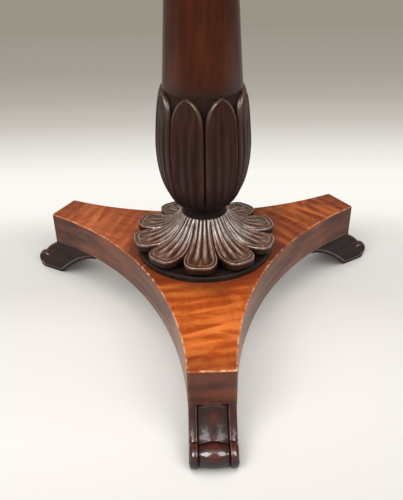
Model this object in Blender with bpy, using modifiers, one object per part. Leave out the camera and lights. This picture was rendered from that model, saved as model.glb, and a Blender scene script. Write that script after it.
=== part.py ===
"""Round occasional table on a carved pedestal: lotus-leaf column, petal collar, triform platform, scroll feet.

Metres, +Z up. The origin lies on the floor under the column's axis, and the front arm points along -Y.
"""

import math

import bmesh
import bpy
from mathutils import Matrix

# Whole table
TABLE_HEIGHT = 0.725
FIT_GAP = 0.0003  # glue line or clearance between two pieces that touch

# Platform: three arms joined by concave sides
ARM_REACH = 0.200
ARM_END_WIDTH = 0.0426
WAIST_RADIUS = 0.079
PLATFORM_THICKNESS = 0.038
VENEER_THICKNESS = 0.0015
SIDE_ARC_STEPS = 14

# Scroll feet, measured along the arm from its end face
FOOT_HEIGHT = 0.046
FOOT_WIDTH = 0.041
TOE_PROJECTION = 0.0355
HEEL_SETBACK = 0.003
TAIL_SETBACK = 0.059
TAIL_THICKNESS = 0.010
HEEL_RADIUS = 0.010
ROLL_RADIUS = 0.0105
CHANNEL_DEPTH = 0.0028
ARCH_BEND = 1.6  # higher keeps the arch under the foot flat for longer before it drops
DOWEL_RADIUS = 0.004
DOWEL_LENGTH = 0.022
DOWEL_SETBACKS = (0.014, 0.037)
DOWEL_SIDES = 12

# Turned disc and petal collar
DISC_RADIUS = 0.0735
DISC_THICKNESS = 0.006
DISC_EDGE_ROUND = 0.002
COLLAR_HEIGHT = 0.0384
COLLAR_BASE_RADIUS = 0.050
THROAT_LIP = 0.001
PETAL_COUNT = 10
PETAL_TURN = math.radians(-95.5)
PETAL_TIP_RADIUS = 0.0775
PETAL_NOTCH = 0.0250
PETAL_RIM_RISE = 0.0134
PETAL_EDGE_THICKNESS = 0.0077
PETAL_DISH = 0.0016
PETAL_VALLEY = 0.0026
FLARE_BEND = 3.0  # how quickly the petals turn from steep at the neck to level at the tips
# Across half a petal from its middle: (share of the half width, share of the dish's depth), the valley last
PETAL_SECTION = ((0.0, 0.8), (0.42, 1.0), (0.70, 0.8), (0.87, 0.0), (1.0, 0.0))

# Column
TENON_RADIUS = 0.019
NECK_RADIUS = 0.024
NECK_HEIGHT = 0.0127
NECK_COVE = 0.0012
BULB_RADIUS = 0.0480
BULB_LOWER_HEIGHT = 0.064
BULB_UPPER_HEIGHT = 0.055
LEAF_COUNT = 8
LEAF_TURN = math.radians(22.5)
LEAF_TIP_PROUD = 0.0035
LEAF_ARCH_RISE = 0.035
LEAF_HOLLOW = 0.0012
LEAF_GROOVE_DEPTH = 0.0028
LEAF_GROOVE_WIDTH = 0.0036
LEAF_WALL = 0.0006
GROUND_MARGIN = 0.0030
GROUND_SINK = 0.0004
# Across half a leaf from its middle: (share of the half width, share of the hollow's depth)
LEAF_SECTION = ((0.0, 0.8), (0.72, 1.0), (0.90, 0.0), (1.0, 0.3))
SHAFT_BASE_RADIUS = 0.0390
SHAFT_TOP_RADIUS = 0.0245
CAP_HEIGHT = 0.036
CAP_RADIUS = 0.0335
CAP_RING_PROUD = 0.0035
TOP_TENON_RADIUS = 0.016
BORE_SIDES = 48
WEDGE_LENGTH = 0.026
WEDGE_WIDTH = 0.035
WEDGE_THICK_END = 0.004
WEDGE_THIN_END = 0.0015

# Top, pillar block and bearers
TOP_DIAMETER = 0.560
TOP_THICKNESS = 0.022
TOP_EDGE_ROUND = 0.009
TOP_STEPS = 64
TOP_EDGE_STEPS = 4
BLOCK_SIDE = 0.150
BLOCK_THICKNESS = 0.030
BLOCK_BEVEL = 0.002
BEARER_LENGTH = 0.440
BEARER_WIDTH = 0.030
BEARER_DEPTH = 0.024
BEARER_END_DEPTH = 0.010
BEARER_END_TAPER = 0.060
BEARER_SCREW_INSET = 0.020
BLOCK_SCREW_INSET = 0.022
SCREW_RADIUS = 0.0022
SCREW_HEAD_RADIUS = 0.0042
SCREW_HEAD_HEIGHT = 0.0025
SCREW_POINT = 0.005
SCREW_BITE = 0.013
SCREW_STEPS = 10

ARM_ANGLES = {"front": math.radians(-90), "right": math.radians(30), "left": math.radians(150)}
HALF_ARM_PITCH = math.radians(60)

# Levels that follow from the sizes above
PLATFORM_TOP = FOOT_HEIGHT + PLATFORM_THICKNESS
VENEER_BOTTOM = PLATFORM_TOP - VENEER_THICKNESS
CORE_TOP = VENEER_BOTTOM - FIT_GAP
DISC_BOTTOM = PLATFORM_TOP + FIT_GAP
DISC_TOP = DISC_BOTTOM + DISC_THICKNESS
COLLAR_BOTTOM = DISC_TOP + FIT_GAP
COLLAR_TOP = COLLAR_BOTTOM + COLLAR_HEIGHT
NECK_BOTTOM = COLLAR_TOP + FIT_GAP
NECK_TOP = NECK_BOTTOM + NECK_HEIGHT
BELLY_HEIGHT = NECK_TOP + BULB_LOWER_HEIGHT
LEAF_TIP = BELLY_HEIGHT + BULB_UPPER_HEIGHT
TOP_UNDERSIDE = TABLE_HEIGHT - TOP_THICKNESS
BLOCK_TOP = TOP_UNDERSIDE - FIT_GAP
BLOCK_BOTTOM = BLOCK_TOP - BLOCK_THICKNESS
CAP_TOP = BLOCK_BOTTOM - FIT_GAP
CAP_BOTTOM = CAP_TOP - CAP_HEIGHT
TENON_BORE = TENON_RADIUS + FIT_GAP


def clear_scene():
    for obj in list(bpy.data.objects):
        bpy.data.objects.remove(obj, do_unlink=True)


def new_collection(name):
    collection = bpy.data.collections.new(name)
    bpy.context.scene.collection.children.link(collection)
    return collection


def new_material(name, colour, roughness, metallic=0.0):
    """A Principled material; colour is linear red, green, blue."""
    material = bpy.data.materials.new(name)
    material.use_nodes = True
    shader = material.node_tree.nodes["Principled BSDF"]
    shader.inputs["Base Color"].default_value = (*colour, 1.0)
    shader.inputs["Roughness"].default_value = roughness
    shader.inputs["Metallic"].default_value = metallic
    return material


def smoothstep(low, high, value):
    """0 at low and 1 at high, eased at both ends; low may be the greater."""
    t = min(max((value - low) / (high - low), 0.0), 1.0)
    return t * t * (3.0 - 2.0 * t)


def spread(first, last, count):
    """count evenly spaced values from first to last, both included."""
    return [first + (last - first) * i / (count - 1) for i in range(count)]


# Making objects


def add_part(obj, material):
    obj.data.materials.append(material)
    TABLE.objects.link(obj)
    return obj


def add_cutter(obj):
    obj.hide_render = True
    obj.display_type = "WIRE"
    CUTTERS.objects.link(obj)
    return obj


def cut(obj, cutter):
    modifier = obj.modifiers.new("cut_" + cutter.name, "BOOLEAN")
    modifier.operation = "DIFFERENCE"
    modifier.object = cutter


def mesh_object(name, build):
    """An object whose mesh is made by build, which fills a bmesh."""
    mesh = bpy.data.meshes.new(name)
    shape = bmesh.new()
    build(shape)
    bmesh.ops.recalc_face_normals(shape, faces=shape.faces)
    shape.to_mesh(mesh)
    shape.free()
    return bpy.data.objects.new(name, mesh)


def as_mesh(obj):
    """A new object with obj's evaluated shape, welded, in its place; obj is removed."""
    bpy.context.scene.collection.objects.link(obj)
    bpy.context.view_layer.update()
    evaluated = obj.evaluated_get(bpy.context.evaluated_depsgraph_get())
    mesh = bpy.data.meshes.new_from_object(evaluated)
    name = obj.name
    place = obj.matrix_world.copy()
    bpy.data.objects.remove(obj, do_unlink=True)
    shape = bmesh.new()
    shape.from_mesh(mesh)
    bmesh.ops.remove_doubles(shape, verts=shape.verts, dist=1e-6)
    shape.to_mesh(mesh)
    shape.free()
    made = bpy.data.objects.new(name, mesh)
    made.matrix_world = place
    return made


def shade(obj, sharp_degrees=35.0):
    obj.data.shade_smooth()
    obj.data.set_sharp_from_angle(angle=math.radians(sharp_degrees))
    return obj


def turned(name, profile, steps, closed=False):
    """A turned shape: profile holds (radius, height) down its outer side, closed for a ring with a bore."""
    mesh = bpy.data.meshes.new(name)
    edges = [(i, i + 1) for i in range(len(profile) - 1)]
    if closed:
        edges.append((len(profile) - 1, 0))
    mesh.from_pydata([(radius, 0.0, height) for radius, height in profile], edges, [])
    obj = bpy.data.objects.new(name, mesh)
    screw = obj.modifiers.new("turn", "SCREW")
    screw.axis = "Z"
    screw.angle = math.tau
    screw.steps = steps
    screw.render_steps = steps
    screw.use_merge_vertices = True
    screw.merge_threshold = 1e-6
    return obj


def carve(obj, rule):
    """Moves each vertex by rule, which takes and gives (angle, radius, height)."""
    for vertex in obj.data.vertices:
        radius = math.hypot(vertex.co.x, vertex.co.y)
        angle = math.atan2(vertex.co.y, vertex.co.x)
        angle, radius, height = rule(angle, radius, vertex.co.z)
        vertex.co = (radius * math.cos(angle), radius * math.sin(angle), height)


def flat_outline(name, points, bottom, top):
    """A flat board: a closed outline of (x, y) points between two levels."""
    curve = bpy.data.curves.new(name, "CURVE")
    curve.dimensions = "2D"
    curve.fill_mode = "BOTH"
    curve.extrude = (top - bottom) / 2
    spline = curve.splines.new("POLY")
    spline.points.add(len(points) - 1)
    for point, (x, y) in zip(spline.points, points):
        point.co = (x, y, 0.0, 1.0)
    spline.use_cyclic_u = True
    obj = bpy.data.objects.new(name, curve)
    obj.location.z = (top + bottom) / 2
    return as_mesh(obj)


def rod(name, radius, bottom, top, x, y, sides):
    def build(shape):
        bmesh.ops.create_cone(
            shape,
            cap_ends=True,
            segments=sides,
            radius1=radius,
            radius2=radius,
            depth=top - bottom,
            matrix=Matrix.Translation((x, y, (top + bottom) / 2)),
        )

    return mesh_object(name, build)


def box(name, size, centre):
    def build(shape):
        bmesh.ops.create_cube(shape, size=1.0, matrix=Matrix.Diagonal((*size, 1.0)))

    obj = mesh_object(name, build)
    obj.location = centre
    return obj


def polar(radius, angle):
    return (radius * math.cos(angle), radius * math.sin(angle))


# Platform

CORNER_OUT = ARM_END_WIDTH / 2 * math.sin(HALF_ARM_PITCH) + ARM_REACH * math.cos(HALF_ARM_PITCH)
CORNER_ACROSS = ARM_REACH * math.sin(HALF_ARM_PITCH) - ARM_END_WIDTH / 2 * math.cos(HALF_ARM_PITCH)
SIDE_SAG = CORNER_OUT - WAIST_RADIUS
SIDE_RADIUS = (CORNER_ACROSS**2 + SIDE_SAG**2) / (2 * SIDE_SAG)
SIDE_CENTRE = WAIST_RADIUS + SIDE_RADIUS
FACED_REACH = ARM_REACH - VENEER_THICKNESS - FIT_GAP  # where the end facing is glued on


def side_turn(depth, reach):
    """Half the angle of a concave side, depth inside its face, cut off at an arm's reach."""
    across = (reach - SIDE_CENTRE * math.cos(HALF_ARM_PITCH)) / (SIDE_RADIUS + depth)
    return math.pi / 2 - HALF_ARM_PITCH + math.asin(across)


def side_arc(bisector, depth, start, end):
    """Points along a concave side; the turn runs from the arm before the bisector to the arm after it."""
    points = []
    for turn in spread(start, end, SIDE_ARC_STEPS + 1):
        out = SIDE_CENTRE - (SIDE_RADIUS + depth) * math.cos(turn)
        across = (SIDE_RADIUS + depth) * math.sin(turn)
        points.append(
            (
                out * math.cos(bisector) - across * math.sin(bisector),
                out * math.sin(bisector) + across * math.cos(bisector),
            )
        )
    return points


def make_platform(core_wood, side_wood, figured_wood):
    depth = VENEER_THICKNESS + FIT_GAP
    turn = side_turn(depth, FACED_REACH)
    outline = []
    for angle in ARM_ANGLES.values():
        outline += side_arc(angle + HALF_ARM_PITCH, depth, -turn, turn)
    core = add_part(flat_outline("platform_core", outline, FOOT_HEIGHT, CORE_TOP), core_wood)
    bore = rod("core_bore", TENON_BORE, FOOT_HEIGHT / 2, PLATFORM_TOP, 0.0, 0.0, BORE_SIDES)
    cut(core, add_cutter(bore))

    half_joint = FIT_GAP / 2
    mitre = math.asin(half_joint / SIDE_RADIUS)
    full = side_turn(0.0, ARM_REACH)
    bore_turn = HALF_ARM_PITCH - math.asin(half_joint / TENON_BORE)
    for side, angle in ARM_ANGLES.items():
        leaf = side_arc(angle - HALF_ARM_PITCH, 0.0, mitre, full)
        leaf += side_arc(angle + HALF_ARM_PITCH, 0.0, -full, -mitre)
        leaf += [polar(TENON_BORE, angle + turn) for turn in spread(bore_turn, -bore_turn, SIDE_ARC_STEPS)]
        veneer = flat_outline("platform_top_veneer_" + side, leaf, VENEER_BOTTOM, PLATFORM_TOP)
        add_part(veneer, figured_wood)

        facing = box(
            "platform_end_veneer_" + side,
            (VENEER_THICKNESS, ARM_END_WIDTH, CORE_TOP - FOOT_HEIGHT),
            (*polar(ARM_REACH - VENEER_THICKNESS / 2, angle), (CORE_TOP + FOOT_HEIGHT) / 2),
        )
        facing.rotation_euler.z = angle
        add_part(facing, side_wood)

    outer = side_turn(0.0, FACED_REACH)
    inner = side_turn(VENEER_THICKNESS, FACED_REACH)
    for side, bisector in {"right": -30, "back": 90, "left": 210}.items():
        strip = side_arc(math.radians(bisector), 0.0, -outer, outer)
        strip += side_arc(math.radians(bisector), VENEER_THICKNESS, inner, -inner)
        veneer = flat_outline("platform_side_veneer_" + side, strip, FOOT_HEIGHT, CORE_TOP)
        add_part(shade(veneer), side_wood)
    return core


# Scroll feet

FOOT_TOP = FOOT_HEIGHT - FIT_GAP
ROLL_CENTRE = ARM_REACH + TOE_PROJECTION - ROLL_RADIUS
# Where the cove runs into the roll, in roll radii behind its centre and above the floor
COVE_JOIN_BACK = 0.7
COVE_JOIN_LEVEL = 1.9
COVE_WIDTH = ROLL_CENTRE - ROLL_RADIUS * COVE_JOIN_BACK - ARM_REACH
COVE_LEVEL = ROLL_RADIUS * COVE_JOIN_LEVEL
ROLL_STEPS = 10
COVE_STEPS = 8
ARCH_STEPS = 8
HEEL_STEPS = 4

# Across the foot from its middle to one side: (share of the half width, share of the channel's depth)
CHANNEL_SECTION = ((0.0, 0.5), (0.50, 0.62), (0.585, 1.2), (0.65, 0.25), (0.78, 0.0), (0.93, 0.12), (1.0, 0.6))


def foot_outline():
    """Side view of a foot as (reach, height, outward reach, outward height, share of the channel)."""
    points = []
    tail = ARM_REACH - TAIL_SETBACK
    heel = ARM_REACH - HEEL_SETBACK
    arch_height = FOOT_TOP - TAIL_THICKNESS
    points.append((tail, FOOT_TOP, 0.0, 0.0, 0.0))
    heel_slope = math.atan(arch_height * ARCH_BEND / (heel - tail))
    heel_cut = HEEL_RADIUS * math.tan(heel_slope / 2)
    arch_end = 1 - heel_cut * math.cos(heel_slope) / (heel - tail)
    for t in spread(0.0, arch_end, ARCH_STEPS)[:-1]:
        points.append((tail + (heel - tail) * t, arch_height * (1 - t**ARCH_BEND), 0.0, 0.0, 0.0))
    for turn in spread(math.radians(270) - heel_slope, math.radians(270), HEEL_STEPS):
        reach = heel + heel_cut + HEEL_RADIUS * math.cos(turn)
        points.append((reach, HEEL_RADIUS * (1 + math.sin(turn)), 0.0, 0.0, 0.0))
    roll_start, roll_end = math.radians(-90), math.radians(125)
    for turn in spread(roll_start, roll_end, ROLL_STEPS):
        out, rise = math.cos(turn), math.sin(turn)
        channel = smoothstep(math.radians(-75), math.radians(-35), turn)
        points.append((ROLL_CENTRE + ROLL_RADIUS * out, ROLL_RADIUS * (1 + rise), out, rise, channel))
    drop = FOOT_TOP - COVE_LEVEL
    for turn in spread(math.radians(80), 0.0, COVE_STEPS):
        out, rise = math.cos(turn), math.sin(turn)
        reach = ARM_REACH + COVE_WIDTH * (1 - out)
        points.append((reach, FOOT_TOP - drop * rise, out, rise, 1.0))
    return points


def make_foot_shape(shape):
    """A loft across the foot: its outline, sunk between two side beads along the cove and the roll."""
    outline = foot_outline()
    half = FOOT_WIDTH / 2
    section = [(-across, depth) for across, depth in reversed(CHANNEL_SECTION[1:])] + list(CHANNEL_SECTION)
    rings = []
    for across, depth in section:
        ring = []
        for reach, height, out, rise, channel in outline:
            sunk = CHANNEL_DEPTH * depth * channel * smoothstep(0.0, CHANNEL_DEPTH, FOOT_TOP - height)
            ring.append(shape.verts.new((reach - out * sunk, across * half, height - rise * sunk)))
        rings.append(ring)
    for near, far in zip(rings, rings[1:]):
        for i in range(len(outline)):
            after = (i + 1) % len(outline)
            shape.faces.new((near[i], near[after], far[after], far[i]))
    shape.faces.new(rings[0])
    shape.faces.new(reversed(rings[-1]))


def make_feet(core, carved_wood, dowel_wood):
    for side, angle in ARM_ANGLES.items():
        foot = mesh_object("scroll_foot_" + side, make_foot_shape)
        foot.rotation_euler.z = angle
        add_part(shade(foot), carved_wood)
        for number, setback in enumerate(DOWEL_SETBACKS, start=1):
            x, y = polar(ARM_REACH - setback, angle)
            name = f"foot_dowel_{side}_{number}"
            low, high = FOOT_HEIGHT - DOWEL_LENGTH / 2, FOOT_HEIGHT + DOWEL_LENGTH / 2
            dowel = rod(name, DOWEL_RADIUS, low, high, x, y, DOWEL_SIDES)
            add_part(shade(dowel), dowel_wood)
            hole = rod("hole_" + name, DOWEL_RADIUS + FIT_GAP, low - FIT_GAP, high + FIT_GAP, x, y, DOWEL_SIDES)
            add_cutter(hole)
            cut(foot, hole)
            cut(core, hole)


# Disc and petal collar

COLLAR_THROAT = NECK_RADIUS + THROAT_LIP
PETAL_RIM = COLLAR_BOTTOM + PETAL_RIM_RISE
FLARE_STEPS = 10
DISC_STEPS = 48
HALF_WAY_IN = 1 - math.cos(math.radians(45))  # inset of a rounded edge at the middle of its turn
# Shares of a petal's length from the neck to its tip
PETAL_DISH_START = 0.10
PETAL_DISH_END = 0.82
PETAL_VALLEY_START = 0.30


def make_disc(black_wood):
    profile = [
        (TENON_BORE, DISC_TOP),
        (DISC_RADIUS - DISC_EDGE_ROUND, DISC_TOP),
        (DISC_RADIUS - DISC_EDGE_ROUND * HALF_WAY_IN, DISC_TOP - DISC_EDGE_ROUND * HALF_WAY_IN),
        (DISC_RADIUS, DISC_TOP - DISC_EDGE_ROUND),
        (DISC_RADIUS, DISC_BOTTOM),
        (TENON_BORE, DISC_BOTTOM),
    ]
    add_part(turned("collar_disc", profile, DISC_STEPS, closed=True), black_wood)


def ornament_place(angle, count, stations):
    """Which of a ring of like ornaments an angle falls on: (middle angle, side, station from its middle)."""
    samples = 2 * (stations - 1)
    number = round(angle / math.tau * count * samples)
    offset = (number + samples // 2) % samples - samples // 2
    middle = math.tau * (number - offset) / (count * samples)
    return middle, math.copysign(1, offset), abs(offset)


def petal_rule(angle, radius, height):
    """Scallops the turned flare into petals, sinks the valleys between them and dishes each inside its rim."""
    run = (radius - COLLAR_THROAT) / (PETAL_TIP_RADIUS - COLLAR_THROAT)
    if run <= 0.0 or height < COLLAR_BOTTOM + FIT_GAP:
        return angle, radius, height
    middle, side, station = ornament_place(angle, PETAL_COUNT, len(PETAL_SECTION))
    across, hollow = PETAL_SECTION[station]
    reach = PETAL_TIP_RADIUS - PETAL_NOTCH * across**4
    radius = COLLAR_THROAT + run * (reach - COLLAR_THROAT)
    if height > PETAL_RIM - PETAL_EDGE_THICKNESS / 2:
        fade = smoothstep(0.0, PETAL_DISH_START, run) * smoothstep(1.0, PETAL_DISH_END, run)
        height -= PETAL_DISH * hollow * fade
        if station == len(PETAL_SECTION) - 1:
            height -= PETAL_VALLEY * smoothstep(0.0, PETAL_VALLEY_START, run)
    return middle + side * across * math.pi / PETAL_COUNT, radius, height


def make_petal_collar(carved_wood):
    profile = [(TENON_BORE, COLLAR_TOP)]
    for step in spread(0.0, 1.0, FLARE_STEPS):
        run = math.sin(step * math.pi / 2)
        radius = COLLAR_THROAT + run * (PETAL_TIP_RADIUS - COLLAR_THROAT)
        profile.append((radius, PETAL_RIM + (COLLAR_TOP - PETAL_RIM) * (1 - run) ** FLARE_BEND))
    profile.append((PETAL_TIP_RADIUS, PETAL_RIM - PETAL_EDGE_THICKNESS))
    profile.append((COLLAR_BASE_RADIUS, COLLAR_BOTTOM))
    profile.append((TENON_BORE, COLLAR_BOTTOM))
    steps = PETAL_COUNT * 2 * (len(PETAL_SECTION) - 1)
    collar = as_mesh(turned("petal_collar", profile, steps, closed=True))
    carve(collar, petal_rule)
    collar.rotation_euler.z = PETAL_TURN
    add_part(shade(collar), carved_wood)


# Column

ROUND_LOWER = 0.675  # fuller than a straight cone, slimmer than a half round
DROP_UPPER = 1.3
LEAF_ARCH = 3.2  # higher gives the leaves squarer shoulders
LEAF_ROUND = 0.7  # lower gives the leaf tips a rounder point
SHAFT_BEND = 1.8  # 1 is a straight taper, higher flares the shaft at its foot
LEAF_BLUNT = 0.05
GROUND_FULL = 0.4  # share of the arch by which the ground between two leaves has sunk to the shaft
LOWER_STEPS = 7
ARCH_ROWS = 8
SHAFT_STEPS = 4


def shaft_radius(height):
    rise = (height - LEAF_TIP) / (CAP_BOTTOM - LEAF_TIP)
    return SHAFT_TOP_RADIUS + (SHAFT_BASE_RADIUS - SHAFT_TOP_RADIUS) * (1 - rise) ** SHAFT_BEND


def bulb_radius(height):
    """Outer surface of the lotus leaves."""
    if height < BELLY_HEIGHT:
        t = (height - NECK_TOP) / BULB_LOWER_HEIGHT
        return NECK_RADIUS + (BULB_RADIUS - NECK_RADIUS) * (1 - (1 - t) ** 2) ** ROUND_LOWER
    t = (height - BELLY_HEIGHT) / BULB_UPPER_HEIGHT
    tip = SHAFT_BASE_RADIUS + LEAF_TIP_PROUD
    return BULB_RADIUS + (tip - BULB_RADIUS) * t**DROP_UPPER


def leaf_rule(angle, radius, height):
    """Carves the lotus leaves: pointed arches above, grooves between them, a hollow inside each raised rim."""
    if height <= NECK_TOP or height > LEAF_TIP + FIT_GAP / 2:
        return angle, radius, height
    stations = len(LEAF_SECTION) + 2
    middle, side, station = ornament_place(angle, LEAF_COUNT, stations)
    half_pitch = math.pi / LEAF_COUNT
    half_arc = half_pitch * radius
    arch = min(max((height - LEAF_TIP) / LEAF_ARCH_RISE + 1, 0.0), 1.0)
    edge = max((1 - arch**LEAF_ARCH) ** LEAF_ROUND, LEAF_BLUNT) * (1 - LEAF_GROOVE_WIDTH / 2 / half_arc)
    fade = smoothstep(NECK_TOP, NECK_TOP + BULB_LOWER_HEIGHT / 3, height)
    if station < len(LEAF_SECTION):
        across, hollow = LEAF_SECTION[station]
        return middle + side * across * edge * half_pitch, radius - LEAF_HOLLOW * hollow * fade, height
    groove = LEAF_GROOVE_DEPTH * fade
    recess = radius - shaft_radius(height) + GROUND_SINK
    ground = radius - groove - (recess - groove) * smoothstep(0.0, GROUND_FULL, arch)
    across = 1.0 if station == stations - 1 else edge + LEAF_WALL / half_arc
    return middle + side * across * half_pitch, ground, height


def make_column(polished_wood, wedge_wood):
    cove_middle = (NECK_BOTTOM + NECK_TOP) / 2
    ring_height = CAP_HEIGHT / 5
    profile = [
        (0.0, BLOCK_TOP - FIT_GAP),
        (TOP_TENON_RADIUS, BLOCK_TOP - FIT_GAP),
        (TOP_TENON_RADIUS, CAP_TOP),
        (CAP_RADIUS, CAP_TOP),
        (CAP_RADIUS, CAP_TOP - ring_height),
        (SHAFT_TOP_RADIUS + CAP_RING_PROUD / 2, CAP_TOP - 3 * ring_height),
        (SHAFT_TOP_RADIUS, CAP_BOTTOM + ring_height),
        (SHAFT_TOP_RADIUS + CAP_RING_PROUD, CAP_BOTTOM + ring_height * 0.75),
        (SHAFT_TOP_RADIUS + CAP_RING_PROUD, CAP_BOTTOM + ring_height * 0.25),
        (SHAFT_TOP_RADIUS, CAP_BOTTOM),
    ]
    ground_top = LEAF_TIP + GROUND_MARGIN
    profile += [(shaft_radius(height), height) for height in spread(CAP_BOTTOM, ground_top, SHAFT_STEPS)[1:]]
    for height in (ground_top - GROUND_SINK / 2, LEAF_TIP + FIT_GAP):
        profile.append((shaft_radius(height) - GROUND_SINK, height))
    arch_start = LEAF_TIP - LEAF_ARCH_RISE
    rows = spread(LEAF_TIP, arch_start, ARCH_ROWS)
    rows += spread(arch_start, BELLY_HEIGHT, 4)[1:]
    rows += [NECK_TOP + BULB_LOWER_HEIGHT * t * t for t in spread(1.0, 0.0, LOWER_STEPS)[1:]]
    profile += [(bulb_radius(height), height) for height in rows]
    profile += [
        (NECK_RADIUS - NECK_COVE, cove_middle),
        (NECK_RADIUS, NECK_BOTTOM),
        (TENON_RADIUS, NECK_BOTTOM),
        (TENON_RADIUS, FOOT_HEIGHT),
        (0.0, FOOT_HEIGHT),
    ]
    steps = LEAF_COUNT * 2 * (len(LEAF_SECTION) + 1)
    column = as_mesh(turned("column", profile, steps))
    carve(column, leaf_rule)
    column.rotation_euler.z = LEAF_TURN
    add_part(shade(column), polished_wood)

    add_part(make_wedge("tenon_wedge", WEDGE_WIDTH, 0.0), wedge_wood)
    cut(column, add_cutter(make_wedge("wedge_slot", TENON_RADIUS * 3, FIT_GAP)))


def make_wedge(name, width, clearance):
    """A tapered wedge driven up into the foot tenon, or the saw cut right across it that takes the wedge."""

    def build(shape):
        for vertex in bmesh.ops.create_cube(shape, size=1.0)["verts"]:
            top = vertex.co.z > 0
            thickness = WEDGE_THIN_END if top else WEDGE_THICK_END
            x = math.copysign(width / 2, vertex.co.x)
            y = math.copysign(thickness / 2 + clearance, vertex.co.y)
            z = FOOT_HEIGHT + WEDGE_LENGTH + clearance if top else FOOT_HEIGHT - clearance * 2
            vertex.co = (x, y, z)

    return mesh_object(name, build)


# Top, block, bearers and screws


def make_top(polished_wood):
    radius = TOP_DIAMETER / 2
    middle = TABLE_HEIGHT - TOP_THICKNESS / 2
    profile = [(0.0, TABLE_HEIGHT)]
    for turn in spread(math.radians(90), math.radians(-90), TOP_EDGE_STEPS + 1):
        profile.append(
            (
                radius - TOP_EDGE_ROUND * (1 - math.cos(turn)),
                middle + TOP_THICKNESS / 2 * math.sin(turn),
            )
        )
    profile.append((0.0, TOP_UNDERSIDE))
    return add_part(turned("table_top", profile, TOP_STEPS), polished_wood)


def make_block(plain_wood):
    centre = (0.0, 0.0, (BLOCK_TOP + BLOCK_BOTTOM) / 2)
    block = add_part(box("pillar_block", (BLOCK_SIDE, BLOCK_SIDE, BLOCK_THICKNESS), centre), plain_wood)
    bevel = block.modifiers.new("soft_edges", "BEVEL")
    bevel.width = BLOCK_BEVEL
    bevel.segments = 1
    low, high = BLOCK_BOTTOM - BLOCK_THICKNESS, BLOCK_TOP + BLOCK_THICKNESS
    bore = rod("block_bore", TOP_TENON_RADIUS + FIT_GAP, low, high, 0.0, 0.0, BORE_SIDES)
    cut(block, add_cutter(bore))
    return block


def make_bearers(plain_wood):
    half = BEARER_LENGTH / 2
    drop = BEARER_DEPTH
    outline = [
        (-half, 0.0),
        (-half, -BEARER_END_DEPTH),
        (-half + BEARER_END_TAPER, -drop),
        (half - BEARER_END_TAPER, -drop),
        (half, -BEARER_END_DEPTH),
        (half, 0.0),
    ]
    bearers = {}
    for side, sign in {"front": -1, "back": 1}.items():
        bearer = flat_outline("bearer_" + side, outline, -BEARER_WIDTH / 2, BEARER_WIDTH / 2)
        bearer.rotation_euler.x = math.radians(90)
        bearer.location = (0.0, sign * (BLOCK_SIDE / 2 + FIT_GAP + BEARER_WIDTH / 2), BLOCK_TOP)
        bearers[side] = add_part(bearer, plain_wood)
    return bearers


def screw_profile(head_level, clearance):
    """Shank and countersunk head of a wood screw that stands head down."""
    point = TOP_UNDERSIDE + SCREW_BITE + clearance
    return [
        (0.0, point),
        (SCREW_RADIUS + clearance, point - SCREW_POINT),
        (SCREW_RADIUS + clearance, head_level + SCREW_HEAD_HEIGHT),
        (SCREW_HEAD_RADIUS + clearance, head_level),
    ]


def make_screw(name, place, carrier, top, head_level, steel):
    profile = screw_profile(head_level, 0.0) + [(0.0, head_level)]
    screw = turned(name, profile, SCREW_STEPS)
    screw.location = (*place, 0.0)
    add_part(screw, steel)

    run_out = head_level - SCREW_HEAD_HEIGHT
    profile = screw_profile(head_level, FIT_GAP)
    profile += [(SCREW_HEAD_RADIUS + FIT_GAP, run_out), (0.0, run_out)]
    hole = turned("hole_" + name, profile, SCREW_STEPS)
    hole.location = (*place, 0.0)
    add_cutter(hole)
    cut(carrier, hole)
    cut(top, hole)


def make_screws(top, block, bearers, steel):
    reach = BLOCK_SIDE / 2 - BLOCK_SCREW_INSET
    corners = ((-reach, -reach), (reach, -reach), (-reach, reach), (reach, reach))
    for number, place in enumerate(corners, start=1):
        make_screw(f"block_screw_{number}", place, block, top, BLOCK_BOTTOM + FIT_GAP, steel)
    outer = BEARER_LENGTH / 2 - BEARER_END_TAPER - BEARER_SCREW_INSET
    for side, bearer in bearers.items():
        for number, x in enumerate((-outer, 0.0, outer), start=1):
            place = (x, bearer.location.y)
            head = BLOCK_TOP - BEARER_DEPTH + FIT_GAP
            make_screw(f"bearer_screw_{side}_{number}", place, bearer, top, head, steel)


clear_scene()
TABLE = new_collection("occasional_table")
CUTTERS = new_collection("cutters")

FIGURED_MAHOGANY = new_material("figured mahogany veneer", (0.57, 0.18, 0.035), 0.30)
PLAIN_MAHOGANY = new_material("plain mahogany veneer", (0.12, 0.055, 0.034), 0.38)
COLUMN_MAHOGANY = new_material("polished column mahogany", (0.070, 0.024, 0.013), 0.32)
CARVED_MAHOGANY = new_material("carved mahogany", (0.14, 0.085, 0.062), 0.34)
FOOT_MAHOGANY = new_material("dark polished feet", (0.045, 0.015, 0.010), 0.22)
TOP_MAHOGANY = new_material("polished top mahogany", (0.22, 0.066, 0.022), 0.24)
EBONISED_WOOD = new_material("ebonised wood", (0.012, 0.010, 0.010), 0.45)
CORE_WOOD = new_material("core mahogany", (0.20, 0.11, 0.06), 0.6)
DOWEL_WOOD = new_material("beech", (0.50, 0.34, 0.19), 0.6)
SCREW_STEEL = new_material("blued steel", (0.14, 0.13, 0.12), 0.4, 1.0)

platform_core = make_platform(CORE_WOOD, PLAIN_MAHOGANY, FIGURED_MAHOGANY)
make_feet(platform_core, FOOT_MAHOGANY, DOWEL_WOOD)
make_disc(EBONISED_WOOD)
make_petal_collar(CARVED_MAHOGANY)
make_column(COLUMN_MAHOGANY, DOWEL_WOOD)
table_top = make_top(TOP_MAHOGANY)
pillar_block = make_block(PLAIN_MAHOGANY)
top_bearers = make_bearers(PLAIN_MAHOGANY)
make_screws(table_top, pillar_block, top_bearers, SCREW_STEEL)
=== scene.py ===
import math

import bmesh
import bpy
from mathutils import Matrix, Vector


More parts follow.
